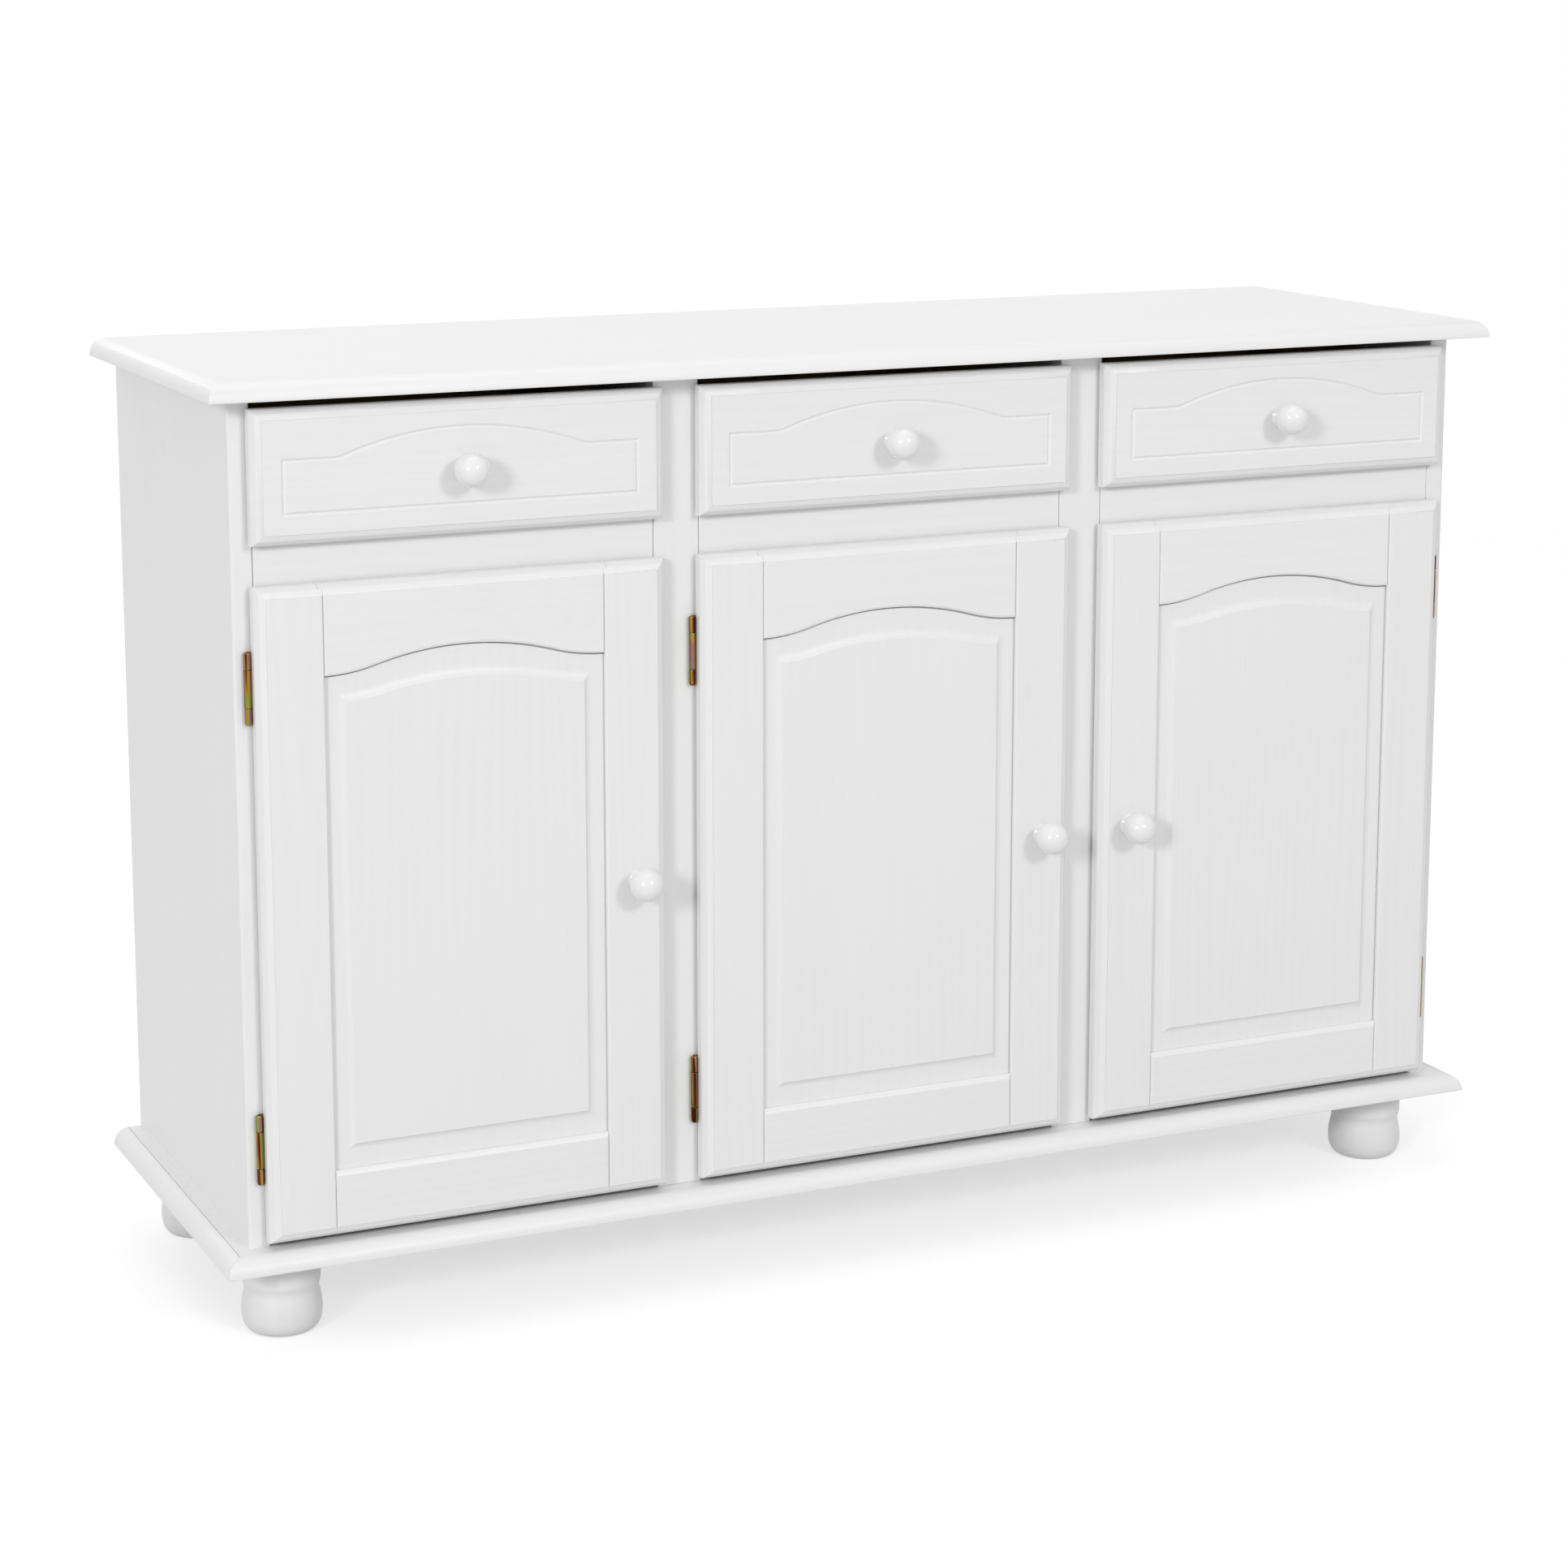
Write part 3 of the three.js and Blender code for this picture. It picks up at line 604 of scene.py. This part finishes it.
def carcass():
    """The boards, panels, centre stiles and feet, and the nails."""
    finished("top_board", moulded_board("top_board"), lacquer, "root", grain="xy", sharp=40)
    finished("base_board", board_body("base_board"), lacquer, "root", grain="xy", sharp=40)
    for name, side in SIDES:
        piece(f"base_board_{name}_moulding", end_moulding("base_board", side), lacquer, "root",
              ["base_board"], grain="y", sharp=40)
    for name, side in SIDES:
        node = name + "_side_panel"
        finished(node, side_panel(node, side), lacquer, "root", grain="zy", sharp=40)
        node = name + "_partition"
        finished(node, Shape().block(*corners(node)), lacquer, "root", grain="zy", bevel=0.6)
        node = name + "_centre_stile"
        finished(node, Shape().block(*corners(node)), lacquer, "root", bevel=0.7)
    back = Shape().block(*corners("back_panel"))
    finished("back_panel", back, hardboard, "root", grain="xy", bevel=0.5)
    for node in (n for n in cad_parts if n.endswith("_foot")):
        finished(node, foot(node), lacquer, "root", sharp=50)
    piece("back_panel_nails", nails(), zinc, "root", sharp=60)


# ---- Doors and drawers ------------------------------------------------------------------------

def standing_ring(outline, y):
    """An outline of (x, z), stood up at one y."""
    return [(x, y, z) for x, z in outline]


def stile(node, side):
    """A door stile: moulded outside, top and bottom, and a small bevel on its inner edge."""
    lo, hi = corners(node)
    rings = []
    for depth in depths(LEAF_EDGE, STILE_BEVEL):
        edge, inner = at(LEAF_EDGE, depth), at(STILE_BEVEL, depth)
        x0, x1 = (lo.x + edge, hi.x - inner) if side < 0 else (lo.x + inner, hi.x - edge)
        z0, z1 = lo.z + edge, hi.z - edge
        rings.append(standing_ring([(x0, z0), (x1, z0), (x1, z1), (x0, z1)], lo.y + depth))
    return Shape().loft(rings)


def bottom_rail(node):
    """The rail under a door's panel: moulded below, bevelled at the panel, tenons at its ends."""
    lo, hi = corners(node)
    rings = []
    for depth in depths(LEAF_EDGE, RAIL_END, LOW_BEVEL):
        edge, end, inner = (at(profile, depth) for profile in (LEAF_EDGE, RAIL_END, LOW_BEVEL))
        x0, x1, z0, z1 = lo.x + end, hi.x - end, lo.z + edge, hi.z - inner
        rings.append(standing_ring([(x0, z0), (x1, z0), (x1, z1), (x0, z1)], lo.y + depth))
    return Shape().loft(rings)


def top_rail(node):
    """The rail over a door's panel, with an arched lower edge."""
    lo, hi = corners(node)
    middle, half = (lo.x + hi.x) / 2, (hi.x - lo.x) / 2
    rings = []
    for depth in depths(LEAF_EDGE, RAIL_END, ARCH_BEVEL):
        top = hi.z - at(LEAF_EDGE, depth)
        side = half - at(RAIL_END, depth)
        line = arch_line(side, lo.z, half, inset=-at(ARCH_BEVEL, depth), **DOOR_ARCH)
        outline = [(middle - side, top), (middle + side, top)]
        outline += [(middle + x, z) for x, z in line]
        rings.append(standing_ring(outline, lo.y + depth))
    return Shape().loft(rings)


def door_panel(bay):
    """A raised panel: a thin plate held in the frame, with an arched field on its face."""
    left, right = corners(bay + "_door_left_stile")[1], corners(bay + "_door_right_stile")[0]
    low = corners(bay + "_door_bottom_rail")[1].z
    shoulder = corners(bay + "_door_top_rail")[0].z
    middle, half, face = (left.x + right.x) / 2, (right.x - left.x) / 2, right.y
    plate_line = arch_line(half + PANEL_OVERLAP, shoulder, half, inset=-PANEL_OVERLAP, **DOOR_ARCH)
    plate = arched(half + PANEL_OVERLAP, low - PANEL_OVERLAP, plate_line)
    place = [(plate, PANEL_BACK), (plate, PANEL_RECESS[0][1])]
    for inset, depth in PANEL_RECESS:
        reach = PANEL_OVERLAP - inset * RECESS_AT_SIDES
        line = arch_line(half + reach, shoulder, half, inset=inset, **DOOR_ARCH)
        place.append((arched(half + reach, low - reach, line), depth))
    for inset, depth in FIELD_SLOPE:
        arch = half - FIELD_FOOT["side"]
        side = arch - inset
        line = arch_line(side, shoulder - FIELD_FOOT["top"], arch, inset=inset, **FIELD_ARCH)
        place.append((arched(side, low + FIELD_FOOT["bottom"] + inset, line), depth))
    rings = [standing_ring([(middle + x, z) for x, z in outline], face + depth)
             for outline, depth in place]
    return Shape().loft(rings)


def drawer_front(node):
    """A moulded drawer front with an arched groove cut in its face."""
    lo, hi = corners(node)
    middle, half = (lo.x + hi.x) / 2, (hi.x - lo.x) / 2
    spec = DRAWER_GROOVE
    groove_side = half - spec["side"]

    def groove(inset):
        side = groove_side - inset
        line = arch_line(side, lo.z + spec["shoulder"], spec["arch"], spec["blend"],
                         spec["rise"], inset)
        return arched(side, lo.z + spec["bottom"] + inset, line)

    pattern = [x / groove_side for x, _ in groove(0)]
    rings = []
    for inset, depth in LEAF_EDGE:
        side, z0, z1 = half - inset, lo.z + inset, hi.z - inset
        heights = [z0, z0] + [z1] * (len(pattern) - 2)
        outline = [(middle + share * side, z) for share, z in zip(pattern, heights)]
        rings.append(standing_ring(outline, lo.y + depth))
    for inset, depth in GROOVE_SECTION:
        outline = [(middle + x, z) for x, z in groove(inset)]
        rings.append(standing_ring(outline, lo.y + depth))
    return Shape().loft(rings)


def knob(node):
    """A ball on a flared neck, turned in one piece. Its axis points towards -Y."""
    lo, hi = corners(node)
    ball = (hi.x - lo.x) / 2
    centre = hi.y - lo.y - ball
    first = KNOB_NECK[-1][0] + KNOB_FILLET
    start = math.atan2(-math.sqrt(ball ** 2 - first ** 2), first)
    steps = 28
    profile = list(KNOB_NECK)
    for k in range(steps):
        a = start + (math.pi / 2 - start) * k / steps
        profile.append((ball * math.cos(a), centre + ball * math.sin(a)))
    profile.append((0, centre + ball))
    middle = (lo + hi) / 2
    return Shape().turned(profile, (middle.x, hi.y, middle.z), (0, -1, 0), 56)


def knob_screw(body, back):
    """The screw that holds a knob, seen on the back of its door or drawer front."""
    lo, hi = corners(body + "_knob")
    middle = (lo + hi) / 2
    head = Shape().turned(KNOB_SCREW_HEAD, (middle.x, back, middle.z), (0, 1, 0), 24)
    piece(body + "_knob_screw", head, zinc, body, sharp=50)


def screw_head(shape, centre, axis, radius):
    """A raised countersunk head with a cross recess, added to a shape."""
    profile = [(0.6, -0.4), (1, 0), (0.9, 0.22), (0.62, 0.4), (0.56, 0.42), (0.5, 0.1), (0, 0.05)]
    shape.turned([(radius * share, along) for share, along in profile], centre, axis, 20)
    centre = Vector(centre)
    out = Vector(axis).normalized()
    side = out.orthogonal().normalized()
    other = out.cross(side)
    # Four wedges stand in the round recess and leave a cross between them
    arm, inner_end, outer_end, half_width = radius * 0.56, 0.35, 1.05, 0.5
    low, high = out * 0.06, out * 0.38
    for k in range(4):
        a = math.pi / 4 + math.pi / 2 * k
        u = (side * math.cos(a) + other * math.sin(a)) * arm
        v = out.cross(u) * half_width
        base = [centre + u * inner_end, centre + u + v, centre + u * outer_end, centre + u - v]
        shape.loft([[p + low for p in base], [p + high for p in base]])


def knuckle(shape, centre, low, high, low_round, high_round):
    """A rolled knuckle about the Z axis with rounded ends."""
    radius, across, along = HINGE_RADIUS, 0.35, 0.3
    profile = [(radius - low_round, low), (radius - low_round * across, low + low_round * along),
               (radius, low + low_round), (radius, high - high_round),
               (radius - high_round * across, high - high_round * along),
               (radius - high_round, high)]
    shape.turned(profile, centre, (0, 0, 1), 32)


def hinge_line(stem, towards):
    """The lower end of the line that a hinge turns on, and the hinge's length."""
    lo, hi = corners(stem + "_frame_leaf")
    x = lo.x + HINGE_RADIUS if towards > 0 else hi.x - HINGE_RADIUS
    return Vector((x, lo.y + HINGE_RADIUS, lo.z)), hi.z - lo.z


def frame_leaf(stem, towards):
    """The cranked leaf on the carcass, with the pin and the two end knuckles."""
    axis, length = hinge_line(stem, towards)
    back = corners(stem + "_frame_leaf")[1].y - axis.y
    shape = Shape()
    ends = ((0, HINGE_KNUCKLE - KNUCKLE_PLAY), (length - HINGE_KNUCKLE + KNUCKLE_PLAY, length))
    lower_round, inner_round, upper_round = 2.0, 0.45, 1.3
    knuckle(shape, axis, *ends[0], lower_round, inner_round)
    knuckle(shape, axis, *ends[1], inner_round, upper_round)
    tip = PIN_RADIUS - PIN_CHAMFER
    shape.turned([(tip, 0), (PIN_RADIUS, PIN_CHAMFER), (PIN_RADIUS, length - PIN_CHAMFER),
                  (tip, length)], axis, (0, 0, 1), 20)
    front = FLANGE_BACK - HINGE_LEAF
    wrap = towards * KNUCKLE_WRAP
    for z0, z1 in ends:
        shape.block((axis.x + min(0, wrap), axis.y + front, axis.z + z0),
                    (axis.x + max(0, wrap), axis.y + FLANGE_BACK, axis.z + z1))
    outer = CRANK_EDGE + HINGE_LEAF
    plan = [(PLATE_START, front), (outer, front), (outer, back), (CRANK_EDGE, back),
            (CRANK_EDGE, FLANGE_BACK), (PLATE_START, FLANGE_BACK)]
    return shape.loft([[(axis.x + towards * x, axis.y + y, axis.z + z) for x, y in plan]
                       for z in (0, length)])


def door_leaf(stem, towards):
    """The flat leaf on the back of the door, with the middle knuckle and two round corners."""
    axis, length = hinge_line(stem, towards)
    lo, hi = corners(stem + "_door_leaf")
    front, back = hi.y - HINGE_LEAF, hi.y
    far = hi.x if towards > 0 else lo.x
    near = axis.x + towards * PLATE_START
    shape = Shape()
    end_round, overlap = 0.45, 0.5
    knuckle(shape, axis, HINGE_KNUCKLE, length - HINGE_KNUCKLE, end_round, end_round)
    turns = [math.pi / 2 * k / CORNER_STEPS for k in range(1, CORNER_STEPS)]
    corner = [(LEAF_CORNER * (1 - math.sin(a)), LEAF_CORNER * (1 - math.cos(a))) for a in turns]
    inset_rise = [(LEAF_CORNER, 0), *corner, (0, LEAF_CORNER)]
    outline = [(near, 0)]
    outline += [(far - towards * inset, rise) for inset, rise in inset_rise]
    outline += [(far - towards * inset, length - rise) for inset, rise in reversed(inset_rise)]
    outline += [(near, length)]
    shape.loft([[(x, y, lo.z + z) for x, z in outline] for y in (front, back)])
    seam = near + towards * overlap
    return shape.block((min(axis.x, seam), front, lo.z + HINGE_KNUCKLE),
                       (max(axis.x, seam), back, hi.z - HINGE_KNUCKLE))


def hinge(bay, place, towards):
    """A butt hinge: one leaf on the carcass, one on the door, and three screws in each."""
    stem = f"{bay}_{place}_hinge"
    body = bay + "_door"
    finished(stem + "_frame_leaf", frame_leaf(stem, towards), zinc, "root", bevel=0.12)
    finished(stem + "_door_leaf", door_leaf(stem, towards), zinc, body, bevel=0.12)

    axis, length = hinge_line(stem, towards)
    back = corners(stem + "_door_leaf")[1].y
    edge = axis.x + towards * (CRANK_EDGE + HINGE_LEAF)
    spec = HINGE_SCREW
    frame_screws, door_screws = Shape(), Shape()
    for rise in (spec["from_end"], length / 2, length - spec["from_end"]):
        z = axis.z + rise
        screw_head(frame_screws, (edge, axis.y + spec["frame_depth"], z), (towards, 0, 0),
                   spec["radius"])
        screw_head(door_screws, (axis.x + towards * spec["door_reach"], back, z), (0, 1, 0),
                   spec["radius"])
    piece(stem + "_frame_screws", frame_screws, zinc, "root", sharp=50)
    piece(stem + "_door_screws", door_screws, zinc, body, sharp=50)


def catch(bay, towards):
    """A magnetic catch under the rail, and its strike plate on the back of the door."""
    body = bay + "_door"
    back = corners(body + "_top_rail")[1].y
    free = corners(f"{body}_{'right' if towards > 0 else 'left'}_stile")
    x = (free[0].x + free[1].x) / 2
    rail = corners(bay + "_drawer_frame")[0]

    def bar(half, front, rear, low, high):
        return (x - half, front, rail.z - low), (x + half, rear, rail.z - high)

    case = Shape().block(*bar(CATCH["half"], rail.y + CATCH["front"], rail.y + CATCH["back"],
                              CATCH["height"], 0))
    piece(bay + "_catch_body", case, gloss, "root", grain="x", bevel=1.2)
    poles = Shape()
    for drop in POLE["drops"]:
        poles.block(*bar(POLE["half"], rail.y - POLE["front"], rail.y + POLE["back"],
                         drop, drop - POLE["thick"]))
    piece(bay + "_catch_poles", poles, zinc, "root", grain="x", bevel=0.3)
    plate_back = back + STRIKE["thick"]
    strike = Shape().block(*bar(STRIKE["half"], back, plate_back, STRIKE["low"], STRIKE["high"]))
    piece(bay + "_catch_strike", strike, zinc, body, grain="x", bevel=0.3)
    screws = Shape()
    for dx in (-STRIKE["screw_at"], STRIKE["screw_at"]):
        screw_head(screws, (x + dx, plate_back, rail.z - STRIKE["screw_drop"]), (0, 1, 0),
                   STRIKE["screw_radius"])
    piece(bay + "_catch_screws", screws, zinc, body, sharp=50)


def door(bay, hinge_side):
    """A framed door with its knob, two hinges and catch."""
    body = bay + "_door"
    for name, side in SIDES:
        node = f"{body}_{name}_stile"
        finished(node, stile(node, side), lacquer, body, sharp=30)
    node = body + "_bottom_rail"
    finished(node, bottom_rail(node), lacquer, body, grain="x", sharp=30)
    node = body + "_top_rail"
    finished(node, top_rail(node), lacquer, body, grain="x", sharp=30)
    finished(body + "_panel", door_panel(bay), lacquer, body, sharp=18)
    finished(body + "_knob", knob(body + "_knob"), gloss, body, sharp=40)
    for place in ("lower", "upper"):
        hinge(bay, place, -hinge_side)
    catch(bay, -hinge_side)
    knob_screw(body, corners(body + "_left_stile")[1].y)


def drawer_box(body):
    """A drawer's sides and back of raw pine, and its bottom, which sits in grooves in them."""
    node = body + "_box"
    lo, hi = corners(node)
    left, right, rear = lo.x + BOX_WALL, hi.x - BOX_WALL, hi.y - BOX_WALL
    for name, x0, x1 in (("left", lo.x, left), ("right", right, hi.x)):
        shape = Shape().block((x0, lo.y, lo.z), (x1, hi.y, hi.z))
        piece(f"{body}_{name}_side", shape, pine, body, [node], grain="yz", bevel=1.4)
    shape = Shape().block((left, rear, lo.z), (right, hi.y, hi.z))
    piece(body + "_back", shape, pine, body, [node], grain="x", bevel=1.4)
    low = lo.z + BOX_BOTTOM_RISE
    shape = Shape().block((left - BOX_GROOVE, lo.y, low),
                          (right + BOX_GROOVE, rear + BOX_GROOVE, low + BOX_BOTTOM))
    piece(body + "_bottom", shape, hardboard, body, [node], grain="yz", bevel=0.3)


def drawer(bay):
    """A drawer: the moulded front, the knob and the box behind it."""
    body = bay + "_drawer"
    node = body + "_front"
    finished(node, drawer_front(node), lacquer, body, grain="x", sharp=28)
    finished(body + "_knob", knob(body + "_knob"), gloss, body, sharp=40)
    knob_screw(body, corners(node)[1].y)
    drawer_box(body)


def rail_and_runners(bay):
    """The rail between a bay's drawer and door, and the runners that carry the drawer."""
    node = bay + "_drawer_frame"
    lo, hi = corners(node)
    left = corners(bay + "_door_left_stile")[0].x + OVERLAY
    right = corners(bay + "_door_right_stile")[1].x - OVERLAY
    top, back = lo.z + RAIL_HEIGHT, lo.y + RAIL_DEPTH
    shape = Shape().block((left + JOINT_GAP, lo.y, lo.z), (right - JOINT_GAP, back, top))
    piece(bay + "_rail_finished", shape, lacquer, "root", [node], grain="x", bevel=0.7)
    reach = RUNNER["reach"]
    ends = (("left", lo.x, left, left + reach), ("right", hi.x, right, right - reach))
    for name, wall, opening, inner in ends:
        shape = Shape().block((min(wall, inner), back, top - RUNNER["height"]),
                              (max(wall, inner), hi.y, top))
        guide_needed = abs(wall - opening) > 1
        if guide_needed:
            shape.block((min(wall, opening), back, top), (max(wall, opening), hi.y, hi.z))
        piece(f"{bay}_{name}_runner", shape, pine, "root", [node], grain="y", bevel=0.8)


def shelf(bay):
    """A bay's shelf, on four pins."""
    node = bay + "_shelf"
    lo, hi = corners(node)
    finished(node, Shape().block(lo, hi), lacquer, "root", grain="xy", bevel=1.3)
    place = SHELF_PIN_PLACE
    z = lo.z - place["drop"]
    pins = Shape()
    for y in (lo.y + place["from_edge"], hi.y - place["from_edge"]):
        pins.turned(SHELF_PIN, (lo.x - place["gap"], y, z), (1, 0, 0), 20)
        pins.turned(SHELF_PIN, (hi.x + place["gap"], y, z), (-1, 0, 0), 20)
    piece(bay + "_shelf_pins", pins, zinc, "root", sharp=50)


carcass()
for bay, hinge_side in BAYS:
    door(bay, hinge_side)
    drawer(bay)
    rail_and_runners(bay)
    shelf(bay)


# ---- Floor, light and camera ------------------------------------------------------------------

WHITE = colour(1, 1, 1)
FLOOR_REACH = 40.0                   # metres
FADE_START, FADE_END = 2.0, 5.0      # where the floor turns white, in metres from the object
FLOOR_PAINT, FLOOR_BOUNCE = colour(0.55, 0.55, 0.55), colour(0.62, 0.62, 0.62)
FLOOR_GLOW, AMBIENT = 0.58, 0.58
MIDDLE = Vector((0, 0, 0.42))

# Softboxes: azimuth, elevation, distance, size and power. Degrees, metres and watts.
# Azimuth 0 is in front of the object, and positive is to the right.
LIGHTS = {
    "key_right": (12, 26, 6.0, 1.0, 68),
    "key_left": (-49, 18, 8.0, 1.3, 167),
    "overhead": (180, 88, 4.0, 3.0, 26),
    "rear": (-160, 42, 5.0, 3.0, 35),
}

# The camera, from the object's front face: metres, radians, pixels of focal length
CAMERA_PLACE = Vector((-1.32171, -2.69179, 1.11861))
CAMERA_YAW, CAMERA_PITCH, CAMERA_FOCAL, CAMERA_SHIFT = 0.4285, 0.1776, 4418.1, -0.12
FRAME_WIDTH, SENSOR_WIDTH, VIEW_REACH = 1932, 36.0, 200.0


def camera_only(tree, seen, unseen):
    """A shader with one look for the camera and reflections, and another as a light source."""
    path = tree.nodes.new("ShaderNodeLightPath")
    either = tree.nodes.new("ShaderNodeMath")
    either.operation = "MAXIMUM"
    mix = tree.nodes.new("ShaderNodeMixShader")
    tree.links.new(path.outputs["Is Camera Ray"], either.inputs[0])
    tree.links.new(path.outputs["Is Glossy Ray"], either.inputs[1])
    tree.links.new(either.outputs[0], mix.inputs[0])
    tree.links.new(unseen, mix.inputs[1])
    tree.links.new(seen, mix.inputs[2])
    return mix.outputs[0]


def floor():
    """A pale floor that fades to white far off. As a light source it is plain grey."""
    mesh = bpy.data.meshes.new("floor")
    r = FLOOR_REACH
    mesh.from_pydata([(-r, -r, 0), (r, -r, 0), (r, r, 0), (-r, r, 0)], [], [(0, 1, 2, 3)])
    graph = Graph("floor_paint")
    tree = graph.tree
    graph.set(base_color=FLOOR_PAINT, roughness=0.9, specular_ior_level=0.0)
    glow = graph.node("ShaderNodeEmission", {"Color": WHITE, "Strength": FLOOR_GLOW})
    near = graph.node("ShaderNodeAddShader", {0: glow.outputs[0], 1: graph.shader.outputs[0]})
    place = graph.node("ShaderNodeNewGeometry").outputs["Position"]
    far_off = graph.ramp(graph.vector("LENGTH", place), FADE_START, FADE_END)
    far = graph.node("ShaderNodeEmission", {"Color": WHITE, "Strength": 1.0})
    seen = graph.node("ShaderNodeMixShader",
                      {0: far_off, 1: near.outputs[0], 2: far.outputs[0]})
    bounce = graph.node("ShaderNodeBsdfDiffuse", {"Color": FLOOR_BOUNCE})
    end = camera_only(tree, seen.outputs[0], bounce.outputs[0])
    tree.links.new(end, tree.nodes["Material Output"].inputs["Surface"])
    mesh.materials.append(graph.material)
    obj = bpy.data.objects.new("floor", mesh)
    scene.collection.objects.link(obj)


def soft_light(name, azimuth, elevation, distance, size, power):
    """A square softbox that faces the middle of the object."""
    lamp = bpy.data.lights.new(name, "AREA")
    lamp.shape = "SQUARE"
    lamp.size = size
    lamp.energy = power
    obj = bpy.data.objects.new(name, lamp)
    scene.collection.objects.link(obj)
    a, e = math.radians(azimuth), math.radians(elevation)
    away = Vector((math.sin(a) * math.cos(e), -math.cos(a) * math.cos(e), math.sin(e)))
    obj.location = MIDDLE + away * distance
    obj.rotation_euler = away.to_track_quat("Z", "Y").to_euler()


def surroundings():
    """A white studio. As a light source it is dimmer than it looks."""
    world = bpy.data.worlds.new("studio")
    scene.world = world
    world.use_nodes = True
    tree = world.node_tree
    ambient = tree.nodes["Background"]
    ambient.inputs["Color"].default_value = WHITE
    ambient.inputs["Strength"].default_value = AMBIENT
    backdrop = tree.nodes.new("ShaderNodeBackground")
    backdrop.inputs["Color"].default_value = WHITE
    end = camera_only(tree, backdrop.outputs[0], ambient.outputs[0])
    tree.links.new(end, tree.nodes["World Output"].inputs["Surface"])


def place_camera():
    """Yaw turns the view to the right and pitch turns it down."""
    front_face = corners("left_side_panel")[0].y * MM
    data = bpy.data.cameras.new("camera")
    data.sensor_width = SENSOR_WIDTH
    data.lens = CAMERA_FOCAL * SENSOR_WIDTH / FRAME_WIDTH
    data.shift_y = CAMERA_SHIFT
    data.clip_end = VIEW_REACH
    yaw, pitch = CAMERA_YAW, CAMERA_PITCH
    forward = Vector((math.sin(yaw) * math.cos(pitch), math.cos(yaw) * math.cos(pitch),
                      -math.sin(pitch)))
    obj = bpy.data.objects.new("camera", data)
    scene.collection.objects.link(obj)
    obj.location = CAMERA_PLACE + Vector((0, front_face, 0))
    obj.rotation_euler = forward.to_track_quat("-Z", "Y").to_euler()
    scene.camera = obj


floor()
surroundings()
for light, setting in LIGHTS.items():
    soft_light(light, *setting)
place_camera()
scene.view_settings.view_transform = "Standard"
